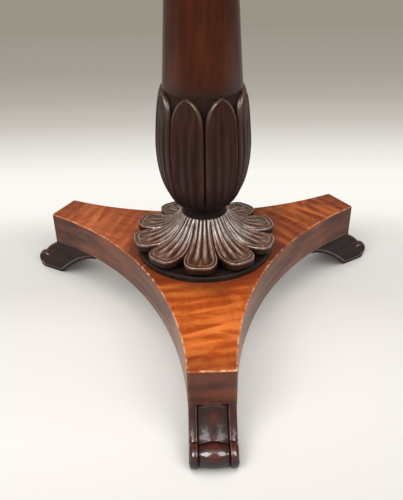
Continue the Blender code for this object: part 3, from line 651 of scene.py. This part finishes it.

# Petal collar
# A ring of ten petals carved from one turned mahogany block, flaring from the column's neck to broad round
# tips. Each has a raised rim, a bead inside it and two reeds, all drawn bright, part wear and part painted
# highlight, over furrows darkened by painted shade.

PETALS = 10
PETAL_TURN = math.radians(-95.5)
COLLAR_BOTTOM = 0.0906
COLLAR_TOP = 0.1290
COLLAR_BASE = 0.050
THROAT = 0.025
PETAL_TIP = 0.0775
PETAL_NOTCH = 0.0250
PETAL_RIM = 0.1040
PETAL_EDGE = 0.0077
RIM_ROUND = 0.0022
EDGE_TAPER = 0.0006
FLARE_BEND = 3.0
PETAL_STATIONS = 30
PETAL_ROWS = 64


def petal_relief(to_side, to_edge, half_width, across, run, petal):
    """(depth, recess, worn) in metres and shares, from the distances to a petal's sides and its outline."""
    # Lengths are in millimetres from here on; the bead lies 5.4 mm in, or less where a petal is narrow
    d = to_edge * 1000
    bead = min(5.4, 300 * half_width)
    inside = max(half_width * 1000 - bead, 1.0)
    # No two petals were cut quite alike
    x = abs(across + 0.06 * math.sin(5.1 * petal) * (1 - across**2))
    x = min(x * half_width * 1000 / inside, 1.0)
    within = smoothstep(bead + 0.2, bead + 1.4, d)
    reeded = within * smoothstep(0.84, 0.58, run)
    # Two reeds stand in the field, with a furrow between them and one beside each bead
    furrow = (3 * x - 1 if x < 0.667 else 3 - 3 * x) ** 2
    furrow_depth = 1.7 + 0.3 * math.sin(3.7 * petal)
    rim = 0.8 * (1 - smoothstep(0.0, 1.0, d)) * smoothstep(0.02, 0.2, run)
    strip = 0.7 * smoothstep(1.1, 2.2, d) * smoothstep(bead - 0.6, bead - 1.8, d)
    field = 1.3 * within - 1.0 * reeded
    rib = 0.5 * max(1 - x / 0.10, 0.0) * (within - reeded)
    valley = 3.0 * (1 - smoothstep(0.0, 1.2, to_side * 1000)) * smoothstep(0.0, 0.12, run)
    depth = rim + strip + field + furrow_depth * furrow * reeded + valley - rib
    # Painted shade darkens the strips, the valleys between petals, the furrows and the field beside the bead
    recess = 0.5 * strip + 0.5 * valley + reeded * smoothstep(0.25, 0.8, furrow)
    recess += 0.4 * (within - reeded) * smoothstep(bead + 3.0, bead + 1.0, d)
    # Rims, bead and reed crests are drawn pale: part wear, part painted highlight
    crest = max(1 - abs(d - 1.0) / 0.6, 1 - abs(d - bead) / 0.6, 0.0)
    rubbed = max(crest, 0.7 * smoothstep(0.2, 0.0, furrow) * reeded, rib)
    return depth / 1000, min(recess, 1.0), rubbed


def petal_reach(across):
    return PETAL_TIP - PETAL_NOTCH * abs(across) ** 4


def petal_surface(across, petal, run):
    """(radius, height, recess, worn) on a petal's face, at a share across it and a share of the way out."""
    reach = petal_reach(across)
    radius = THROAT + run * (reach - THROAT)
    fall = COLLAR_TOP - PETAL_RIM
    height = PETAL_RIM + fall * (1 - run) ** FLARE_BEND
    slope = math.atan(fall * FLARE_BEND * (1 - run) ** (FLARE_BEND - 1) / (reach - THROAT))
    half_width = math.pi / PETALS * radius
    to_side = (1 - abs(across)) * half_width
    # The outline runs aslant beside the tip, so the nearest point of it is closer than straight outward
    aslant = 4 * PETAL_NOTCH * abs(across) ** 3 / half_width
    to_tip = (reach - radius) / math.hypot(1.0, aslant)
    # The two distances are blended over 1.2 mm, so that the rim turns the corner in a curve
    soft = 0.0012
    low = min(to_side, to_tip)
    to_edge = low - soft * math.log(math.exp((low - to_side) / soft) + math.exp((low - to_tip) / soft))
    depth, recess, worn = petal_relief(to_side, max(to_edge, 0.0), half_width, across, run, petal)
    # Cuts go in a little steeper than square to the face, so that they don't crowd in the throat
    return radius - depth * math.sin(slope) * 0.8, height - depth * math.cos(slope), recess, worn


# Points crowd towards the petals' sides and tips, where the carving is finest
petal_half = [1 - (1 - k / PETAL_STATIONS) ** 1.25 for k in range(PETAL_STATIONS + 1)]
petal_stations = [-s for s in reversed(petal_half[1:])] + petal_half[:-1]
petal_runs = [1 - (1 - k / PETAL_ROWS) ** 1.35 for k in range(PETAL_ROWS + 1)]
petal_rings, petal_recess, petal_worn = [], [], []


def petal_ring(place):
    """One ring of points: place gives (radius, height, recess, worn) at a share across a petal."""
    points = []
    for petal in range(PETALS):
        for across in petal_stations:
            angle = (petal + across / 2) * math.tau / PETALS
            radius, height, recess, worn = place(across, petal)
            points.append((radius * math.cos(angle), radius * math.sin(angle), height))
            petal_recess.append(recess)
            petal_worn.append(worn)
    petal_rings.append(points)


petal_ring(lambda across, petal: (TENON_BORE, COLLAR_TOP, 0.5, 0.0))
for run in petal_runs:
    petal_ring(lambda across, petal: petal_surface(across, petal, run))
# The rim's rounding and the upright edges get painted shade
petal_ring(lambda across, petal: (petal_reach(across), PETAL_RIM - RIM_ROUND, 0.75, 0.1))
petal_ring(lambda across, petal: (petal_reach(across) - EDGE_TAPER, PETAL_RIM - PETAL_EDGE, 1.0, 0.0))
petal_ring(lambda across, petal: (COLLAR_BASE, COLLAR_BOTTOM, 1.0, 0.0))
petal_ring(lambda across, petal: (TENON_BORE, COLLAR_BOTTOM, 1.0, 0.0))

# Carved mahogany rubbed with wax: mid brown, red in the petals' fields, with bright rims and reed crests that
# are part wear and part painted highlight, and black cuts that are painted shade. A painted grey sheen lies
# round the throat; the collar ends inside 200 mm, so the ring doesn't come back.
petal_polish = grained_wood(
    "waxed carved mahogany", "#82482F", "#462517", "X", (35, 3), 0.24,
    coat=("recess", 1.0, 0.0), coat_ior=1.65, pore=0.15, waver=0.35,
    # Painted grey sheen round the throat
    ring=("#665850", 28, 50, 200, 201),
    layers=(("recess", "#120807", 1.0, 0.3), ("worn", "#DCC6B6", 0.35, -0.06)),
)
petal_mesh = skin("lotus_petals", petal_rings, crease=55, loop=True, recess=petal_recess, worn=petal_worn)
fit_piece("lotus_petals", petal_mesh, petal_polish, "petal_collar", PETAL_TURN)
# The upright edges and undersides are dull, and painted nearly black as shade
petal_edge_shade = grained_wood(
    "dull waxed petal edge", "#38201A", "#1E100C", "X", (35, 3), 0.5, specular=0.15, pore=0.15
)
petal_mesh.materials.append(petal_edge_shade)
for polygon in petal_mesh.polygons:
    if polygon.index // len(petal_rings[0]) >= PETAL_ROWS + 2:
        polygon.material_index = 1

# Column
# One length of mahogany, turned to a slim tapering shaft and carved below into a bud of eight lotus leaves.
# Its tenons go down through collar and platform, where a wedge spreads the end, and up into the pillar block.

LEAVES = 8
LEAF_TURN = math.radians(22.5)
NECK_BOTTOM = 0.1293
NECK_TOP = 0.140
NECK_RADIUS = 0.024
NECK_HOLLOW = 0.0016
BELLY = 0.206
BELLY_RADIUS = 0.0480
LEAF_TIP = 0.261
LEAF_TIP_RADIUS = 0.0432
LEAF_RISE = 0.035
LEAF_GAP = 0.0010
LEAF_GROOVE = 0.0034
SHAFT_BASE = 0.0390
SHAFT_TOP = 0.0245
SHAFT_BEND = 1.8
GROUND_TOP = LEAF_TIP + 0.0030
CAP_BOTTOM = 0.6364
CAP_TOP = 0.6724
CAP_RADIUS = 0.0335
COVE_RADIUS, COVE_IN, COVE_START, COVE_DROP = 0.0327, 0.0068, 0.0067, 0.0150
ASTRAGAL_CORE, ASTRAGAL_HALF, ASTRAGAL_LEVEL = 0.0246, 0.0034, 0.6405
BLOCK_TOP = 0.7027
TENON = 0.019
TOP_TENON = 0.016
GROUND_STATIONS = 4
# Heights: the carving dies away just above the neck, painted shade low on the bud fades upward, flutes end
# below the tips
LEAF_FADE = 0.022
NECK_SHADE_FULL, NECK_SHADE_END = 0.144, 0.182
FLUTE_FULL, FLUTE_END = 0.222, 0.248
TIP_ROWS_END, ARCH_ROWS_END = 0.249, 0.228

leaf_stations = spread(0.0, 0.72, 14) + spread(0.755, 1.0, 9)
column_rings, column_recess, column_worn, column_waxed = [], [], [], []


def shaft_radius(z):
    rise = (z - LEAF_TIP) / (CAP_BOTTOM - LEAF_TIP)
    return SHAFT_TOP + (SHAFT_BASE - SHAFT_TOP) * max(1 - rise, 0.0) ** SHAFT_BEND


def leaf_surface(z):
    """Radius of the bud, which swells fast from the neck to its belly and draws in slowly to the tips."""
    if z < BELLY:
        t = (z - NECK_TOP) / (BELLY - NECK_TOP)
        return NECK_RADIUS + (BELLY_RADIUS - NECK_RADIUS) * (1 - (1 - t) ** 2.2) ** 0.56
    t = (z - BELLY) / (LEAF_TIP - BELLY)
    return BELLY_RADIUS + (LEAF_TIP_RADIUS - BELLY_RADIUS) * t**1.3


def plain_ring(radius, z, recess=0.0, waxed=0.0):
    """One turned ring, with as many points as a ring through the leaves."""
    count = 2 * (len(leaf_stations) + GROUND_STATIONS - 1)
    points = []
    for leaf in range(LEAVES):
        for i in range(count):
            angle = (leaf + i / count - 0.5) * math.tau / LEAVES
            points.append((radius * math.cos(angle), radius * math.sin(angle), z))
            column_recess.append(recess)
            column_worn.append(0.0)
            column_waxed.append(waxed)
    column_rings.append(points)


def leaf_ring(z):
    """One ring through the leaves: raised rims, fluted hollows and the sunk ground between neighbours."""
    radius = leaf_surface(z)
    half_arc = math.pi / LEAVES * radius
    arch = min(max((z - LEAF_TIP) / LEAF_RISE + 1, 0.0), 1.0)
    edge = max((1 - arch**3.2) ** 0.7, 0.05) * (1 - LEAF_GAP / half_arc)
    fade = smoothstep(NECK_TOP, NECK_TOP + LEAF_FADE, z)
    groove = LEAF_GROOVE * (0.25 + 0.75 * fade)
    ground = groove + (radius - shaft_radius(z) - groove) * smoothstep(0.0, 0.4, arch)
    neck_shade = 0.9 * smoothstep(NECK_SHADE_END, NECK_SHADE_FULL, z)
    side = []
    for share in leaf_stations:
        # Distance from the rim and depths in millimetres
        d = (1 - share) * edge * half_arc * 1000
        x = share * edge * half_arc / max(edge * half_arc - 0.0032, 0.0005)
        rim = 1.25 * (1 - min(d / 1.8, 1.0)) ** 1.2
        hollow = 1.3 * smoothstep(2.0, 3.8, d)
        flute = 1.05 * (0.5 + 0.5 * math.cos(math.tau * min(x, 1.0) / 0.667))
        flute *= smoothstep(3.2, 4.4, d) * smoothstep(FLUTE_END, FLUTE_FULL, z)
        depth = (rim + (hollow + flute) * fade) / 1000
        # Painted shade darkens the hollows and flutes, and the bud low down by the neck
        recess = max(min(1.0, 0.12 * hollow + 0.38 * flute) * fade, neck_shade)
        crest = smoothstep(3.2, 1.8, d) * fade * (0.06 + 0.94 * smoothstep(0.2, 0.75, arch))
        side.append((share * edge, depth, recess, crest))
    wall = 0.0005 / half_arc
    # The ground between neighbouring leaves is darkened as painted shade, less so between the tips
    for k in range(GROUND_STATIONS):
        across = edge + wall + (1 - edge - wall) * k / (GROUND_STATIONS - 1)
        side.append((across, ground, 1.0 - 0.55 * smoothstep(0.5, 0.9, arch), 0.0))
    whole = [(-across, *rest) for across, *rest in reversed(side)] + side[1:-1]
    points = []
    for leaf in range(LEAVES):
        for across, depth, recess, worn in whole:
            angle = (leaf + across / 2) * math.tau / LEAVES
            points.append(((radius - depth) * math.cos(angle), (radius - depth) * math.sin(angle), z))
            column_recess.append(recess)
            column_worn.append(worn)
            column_waxed.append(1.0)
    column_rings.append(points)


# Top tenon, then the cap: a fillet, a cove, a second fillet and an astragal
plain_ring(TOP_TENON, BLOCK_TOP - JOINT)
plain_ring(TOP_TENON, CAP_TOP)
for inset, drop in ((0.0005, 0.0), (0.0, 0.0006), (0.0, 0.0060), (0.0008, 0.0066)):
    plain_ring(CAP_RADIUS - inset, CAP_TOP - drop)
for turn in spread(0.0, math.radians(90), 9):
    z = CAP_TOP - COVE_START - COVE_DROP * (1 - math.cos(turn))
    plain_ring(COVE_RADIUS - COVE_IN * math.sin(turn), z)
# The fillet under the cove, and the shaft just under the cap, get painted shade
for radius, drop, recess in ((0.0259, 0.0240, 0.0), (0.0249, 0.0246, 0.0), (0.0247, 0.0274, 0.5)):
    plain_ring(radius, CAP_TOP - drop, recess)
for turn in spread(math.radians(80), math.radians(-80), 9):
    radius = ASTRAGAL_CORE + ASTRAGAL_HALF * math.cos(turn)
    plain_ring(radius, ASTRAGAL_LEVEL + ASTRAGAL_HALF * math.sin(turn))
for z in spread(CAP_BOTTOM, GROUND_TOP + 0.020, 14):
    plain_ring(shaft_radius(z), z, 0.5 if z > CAP_BOTTOM - JOINT else 0.0)
# The shaft's clear polish gives way to dark old wax above the leaf tips
for above, waxed in ((0.013, 0.12), (0.007, 0.35), (0.002, 0.65), (-0.001, 0.85)):
    plain_ring(shaft_radius(GROUND_TOP + above), GROUND_TOP + above, 0.2 * waxed, waxed)
plain_ring(shaft_radius(LEAF_TIP + JOINT), LEAF_TIP + JOINT, 0.35, 1.0)
# The bud, in finer steps where the tips arch over and where it swells from the neck
leaf_levels = spread(LEAF_TIP, TIP_ROWS_END, 16) + spread(TIP_ROWS_END, ARCH_ROWS_END, 10)[1:]
leaf_levels += spread(ARCH_ROWS_END, BELLY, 6)[1:]
for z in leaf_levels:
    leaf_ring(z)
for t in spread(1.0, 0.0, 22)[1:-1]:
    leaf_ring(NECK_TOP + (BELLY - NECK_TOP) * t * t)
# Painted shade darkens the neck's hollow
for turn in spread(0.0, math.radians(180), 7):
    z = NECK_TOP + (NECK_BOTTOM - NECK_TOP) * turn / math.pi
    plain_ring(NECK_RADIUS - NECK_HOLLOW * math.sin(turn), z, 0.85, 1.0)
plain_ring(TENON, NECK_BOTTOM)
plain_ring(TENON, PLATFORM_BOTTOM)
column_mesh = skin(
    "carved_column", column_rings, crease=50, recess=column_recess, worn=column_worn, waxed=column_waxed
)

# French polished mahogany: deep red brown that mirrors the room along its sides, near black as painted shade
# under the cap
shaft_polish = grained_wood(
    "french polished column mahogany", "#4A200E", "#381609", "Z", (160, 5), 0.20,
    coat=0.15, specular=0.2, pore=0.2, waver=0.15,
    layers=(("waxed", "#2E1A14", 0.9, 0.06), ("recess", "#0A0606", 1.0, 0.2)),
)
# The carved bud keeps old wax: brown-black and soft in gloss, near black as painted shade in its cuts and low
# by the neck, with pale rims at the tips, part rubbed by hands and part painted highlight
bud_polish = grained_wood(
    "old waxed bud mahogany", "#44271E", "#2D1813", "Z", (70, 3), 0.36,
    coat=("worn", 0.0, 1.0), specular=0.14, pore=0.15, waver=0.35,
    layers=(("recess", "#0A0606", 1.0, 0.2), ("worn", "#5C463A", 0.6, -0.1)),
)
fit_piece("carved_column", column_mesh, shaft_polish, "column", LEAF_TURN)
column_mesh.materials.append(bud_polish)
for polygon in column_mesh.polygons:
    if LEAF_TIP + JOINT > polygon.center.z > NECK_BOTTOM:
        polygon.material_index = 1

# Tenon wedge
# A split of beech driven up into the end of the tenon, sawn off flush under the platform.

dress("tenon_wedge", beech)

# Pillar block and bearers
# The block that takes the column's top tenon, and the two bearers beside it that keep the top flat.
# They are plain mahogany, planed and oiled, and screwed up into the top.

# Planed by hand and oiled once: darker than the sawn board, with a faint shine
block_wood = grained_wood("planed mahogany", "#7E5438", "#5C3A24", "Y", (110, 6), 0.5, pore=0.35)
dress("pillar_block", block_wood)
for place in ("front", "back"):
    dress(f"bearer_{place}", oiled_mahogany)

# Table top
# A round board of solid mahogany with a rounded edge, grain from front to back, french polished on top.

TOP_RADIUS = 0.280
TABLE_HEIGHT = 0.725
TOP_THICKNESS = 0.022
TOP_EDGE = 0.009
TOP_RINGS = (0.02, 0.10, 0.18, 0.24)
top_profile = [(r, TABLE_HEIGHT) for r in TOP_RINGS]
for turn in spread(math.radians(90), math.radians(-90), 25):
    r = TOP_RADIUS - TOP_EDGE * (1 - math.cos(turn))
    top_profile.append((r, TABLE_HEIGHT - TOP_THICKNESS / 2 * (1 - math.sin(turn))))
top_profile += [(r, TABLE_HEIGHT - TOP_THICKNESS) for r in reversed(TOP_RINGS)]
# Long flowing grain with a faint ripple under an old french polish: red brown with a satin shine
top_polish = grained_wood(
    "french polished top mahogany", "#96522D", "#5F2B15", "Y", (220, 11), 0.36,
    coat=0.03, specular=0.2, pore=0.3, ripple=("#9A542F", "#72371B", 30, 4, 0.34),
)
top_mesh = skin("round_top", turned_rings(top_profile, 192), crease=60)
fit_piece("round_top", top_mesh, top_polish, "table_top")

# Screws
# Hand-filed countersunk wood screws of iron, slotted, four through the block and three through each bearer.

SCREW_SHANK = 0.0022
SCREW_HEAD = 0.0042
SCREW_COUNTERSINK = 0.0025
SCREW_POINT = 0.005
HEAD_EDGE = 0.0003
POINT_RADIUS, POINT_TAPER = 0.0002, 0.8
THREAD_START, THREAD_PITCH, THREAD_TURNS, THREAD_ROOT = 0.006, 0.0016, 8, 0.78
SLOT_WIDTH, SLOT_LENGTH, SLOT_HEIGHT = 0.0008, 0.02, 0.0022


def slotted_screw(name, head_level, point_level):
    """A screw standing head down: slotted flat head, cone, shank with a worn thread, and point."""
    profile = [(POINT_RADIUS, point_level), (SCREW_SHANK * POINT_TAPER, point_level - SCREW_POINT)]
    for turn in range(THREAD_TURNS):
        z = point_level - THREAD_START - turn * THREAD_PITCH
        profile += [(SCREW_SHANK, z), (SCREW_SHANK * THREAD_ROOT, z - THREAD_PITCH / 2)]
    profile.append((SCREW_SHANK, head_level + SCREW_COUNTERSINK))
    profile += [(SCREW_HEAD, head_level + HEAD_EDGE), (SCREW_HEAD, head_level)]
    body = bpy.data.objects.new(name + "_body", skin(name + "_body", turned_rings(profile, 32)))
    slot_shape = bmesh.new()
    slot_size = Matrix.Diagonal((SLOT_WIDTH, SLOT_LENGTH, SLOT_HEIGHT, 1.0))
    bmesh.ops.create_cube(slot_shape, size=1.0, matrix=Matrix.Translation((0, 0, head_level)) @ slot_size)
    slot_mesh = bpy.data.meshes.new(name + "_slot")
    slot_shape.to_mesh(slot_mesh)
    slot_shape.free()
    slot = bpy.data.objects.new(name + "_slot", slot_mesh)
    for obj in (body, slot):
        bpy.context.collection.objects.link(obj)
    cut = body.modifiers.new("slot", "BOOLEAN")
    cut.object = slot
    bpy.context.view_layer.update()
    mesh = bpy.data.meshes.new_from_object(body.evaluated_get(bpy.context.evaluated_depsgraph_get()))
    for obj in (body, slot):
        bpy.data.objects.remove(obj, do_unlink=True)
    # The cut leaves one corner double, so points closer than a thousandth of a millimetre are welded
    welded = bmesh.new()
    welded.from_mesh(mesh)
    bmesh.ops.remove_doubles(welded, verts=welded.verts, dist=1e-6)
    welded.to_mesh(mesh)
    welded.free()
    mesh.name = name
    mesh.shade_smooth()
    mesh.set_sharp_from_angle(angle=math.radians(30))
    return mesh


# Iron gone brown with age: grey metal with 2.5 mm patches of dull brown oxide
OXIDE_MM = 2.5
aged_iron = bpy.data.materials.new("aged iron screw")
aged_iron.use_nodes = True
tree = aged_iron.node_tree
iron = tree.nodes["Principled BSDF"]
place = add_node(tree, "TexCoord", {}, "Object")
oxide = add_node(tree, "TexNoise", {"Vector": place, "Scale": 1000 / OXIDE_MM, "Detail": 3.0})
spots = add_node(tree, "MapRange", {0: oxide, 1: 0.42, 2: 0.62})
metal = add_node(
    tree, "Mix", {FACTOR: spots, FIRST: linear("#8A857E"), SECOND: linear("#5A4334")}, MIXED, data_type="RGBA"
)
gloss = add_node(tree, "MapRange", {0: oxide, 1: 0.4, 2: 0.65, 3: 0.32, 4: 0.6})
tree.links.new(metal, iron.inputs["Base Color"])
tree.links.new(gloss, iron.inputs["Roughness"])
iron.inputs["Metallic"].default_value = 0.85
# Each slot stopped at its own angle
screws = [(f"block_screw_{number}", 0.6 * number) for number in range(1, 5)]
for side in ("front", "back"):
    screws += [(f"bearer_screw_{side}_{number}", 0.9 * number) for number in range(1, 4)]
for node, turn in screws:
    low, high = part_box(node)
    mesh = slotted_screw(node, low[2], high[2])
    piece = fit_piece(f"slotted_{node}", mesh, aged_iron, node, turn)
    piece.location = ((low[0] + high[0]) / 2, (low[1] + high[1]) / 2, 0.0)

# Studio
# A pale floor with a painted pool of light that falls off to warm grey away from the table, a broad soft lamp
# overhead, an umbrella lamp on each side in front, the left one stronger, and an even room. The camera looks
# down from in front.

FLOOR_RADIUS = 9.0
FLOOR_LEVEL = -0.0004
WALL_GREY = "#9A9488"
floor_shape = bmesh.new()
floor_place = Matrix.Translation((0, 0, FLOOR_LEVEL))
bmesh.ops.create_circle(floor_shape, cap_ends=True, segments=96, radius=FLOOR_RADIUS, matrix=floor_place)
floor_mesh = bpy.data.meshes.new("studio_floor")
floor_shape.to_mesh(floor_mesh)
floor_shape.free()
floor = bpy.data.objects.new("studio_floor", floor_mesh)
bpy.context.collection.objects.link(floor)


def seen_directly(tree):
    """1 where the camera, a reflection or a view through glass meets the surface, and 0 where light does."""
    path = add_node(tree, "LightPath", {}).node.outputs
    seen = add_node(tree, "Math", {0: path["Is Camera Ray"], 1: path["Is Glossy Ray"]}, operation="MAXIMUM")
    return add_node(tree, "Math", {0: seen, 1: path["Is Transmission Ray"]}, operation="MAXIMUM")


# Matt paper with painted light: a near white pool under the table with a faint painted shade round the base,
# warm grey far off
paper = bpy.data.materials.new("matt studio paper")
paper.use_nodes = True
tree = paper.node_tree
sheet = tree.nodes["Principled BSDF"]
place = add_node(tree, "TexCoord", {}, "Object")
# The painted pool of light is three times as wide as it is deep, turned a little, and lies just in front of
# the table
pool = add_node(
    tree, "Mapping",
    {"Vector": place, "Location": (0.0, 0.127, 0.0), "Rotation": (0.0, 0.0, 0.28), "Scale": (0.3, 1.0, 1.0)},
)
away = add_node(tree, "VectorMath", {0: pool}, "Value", operation="LENGTH")
distance = add_node(tree, "MapRange", {0: away, 1: 0.0, 2: 2.0})
# Painted light and shade on the paper from the middle of the pool outward, at shares of 2 m
PAPER_LIGHT_TONES = (
    (0.04, "#FDFAF4"), (0.062, "#F7F4ED"), (0.085, "#F0EDE7"), (0.118, "#F1EEE9"),
    (0.155, "#F9F6F0"), (0.21, "#FCFAF4"), (0.25, "#FAF8F3"), (0.305, "#E6E3DE"),
    (0.372, "#CAC3BB"), (0.46, "#B3ACA4"), (0.56, "#A69F96"), (0.85, WALL_GREY),
)
fall_off = add_node(
    tree, "ValToRGB", {0: distance}, stops=[(share, linear(tone)) for share, tone in PAPER_LIGHT_TONES]
)
# Painted shadow: the paper is darkened where the base stands within 70 mm of it, as little light creeps in
# there
crowding = add_node(tree, "AmbientOcclusion", {"Distance": 0.07}, "AO")
shade = add_node(tree, "MapRange", {0: crowding, 1: 0.1, 2: 0.7, 3: 0.22, 4: 1.0})
lit_paper_colour = add_node(tree, "VectorMath", {0: fall_off, 3: shade}, operation="SCALE")
tree.links.new(lit_paper_colour, sheet.inputs["Base Color"])
sheet.inputs["Roughness"].default_value = 0.9
sheet.inputs["Specular IOR Level"].default_value = 0.1
# Away from the table the paper is only a backdrop, so the camera and reflections see its plain colour there
seen = seen_directly(tree)
far = add_node(tree, "MapRange", {0: away, 1: 0.28, 2: 0.38, 3: 0.28}, interpolation_type="SMOOTHSTEP")
backdrop = add_node(tree, "Math", {0: seen, 1: far}, operation="MULTIPLY")
plain = add_node(tree, "Emission", {"Color": lit_paper_colour, "Strength": 1.0})
paper_mix = add_node(tree, "MixShader", {0: backdrop, 1: sheet.outputs[0], 2: plain})
tree.links.new(paper_mix, tree.nodes["Material Output"].inputs["Surface"])
floor_mesh.materials.append(paper)

# Soft light of about a quarter of a white room; the walls themselves look warm grey
ROOM_LIGHT = 0.27
world = bpy.data.worlds.new("pale room")
bpy.context.scene.world = world
world.use_nodes = True
tree = world.node_tree
room = tree.nodes["Background"]
soft_white = tuple(ROOM_LIGHT * share for share in linear("#FDFAF6")[:3]) + (1.0,)
walls = add_node(
    tree, "Mix", {FACTOR: seen_directly(tree), FIRST: soft_white, SECOND: linear(WALL_GREY)},
    MIXED, data_type="RGBA",
)
tree.links.new(walls, room.inputs["Color"])
room.inputs["Strength"].default_value = 1.0


def soft_lamp(name, place, aim, size, watts):
    lamp = bpy.data.lights.new(name, "AREA")
    lamp.shape = "RECTANGLE"
    lamp.size, lamp.size_y = size
    lamp.energy = watts
    holder = bpy.data.objects.new(name, lamp)
    bpy.context.collection.objects.link(holder)
    holder.location = place
    holder.rotation_euler = (Vector(aim) - Vector(place)).to_track_quat("-Z", "Y").to_euler()


soft_lamp("overhead_softbox", (-0.05, -0.60, 2.05), (-0.05, -0.40, 0.0), (2.2, 1.8), 12.0)
soft_lamp("left_umbrella", (-0.95, -1.30, 1.50), (0.0, -0.05, 0.08), (1.1, 1.1), 24.0)
soft_lamp("right_umbrella", (0.95, -1.30, 1.50), (0.0, -0.05, 0.08), (1.1, 1.1), 17.0)

CAMERA_PLACE = (-0.0134, -0.5674, 0.431)
YAW, PITCH, ROLL = 0.017, 0.557, -0.018
forward = Vector((math.sin(YAW) * math.cos(PITCH), math.cos(YAW) * math.cos(PITCH), -math.sin(PITCH)))
right = Vector((math.cos(YAW), -math.sin(YAW), 0.0))
up = right.cross(forward)
camera_right = math.cos(ROLL) * right + math.sin(ROLL) * up
camera_up = math.cos(ROLL) * up - math.sin(ROLL) * right
lens = bpy.data.cameras.new("camera")
lens.lens = 43.2
lens.sensor_width = 36.0
lens.clip_start = 0.01
camera = bpy.data.objects.new("camera", lens)
bpy.context.collection.objects.link(camera)
stand = Matrix((camera_right, camera_up, -forward)).transposed().to_4x4()
stand.translation = CAMERA_PLACE
camera.matrix_world = stand
bpy.context.scene.camera = camera
bpy.context.scene.view_settings.view_transform = "Standard"
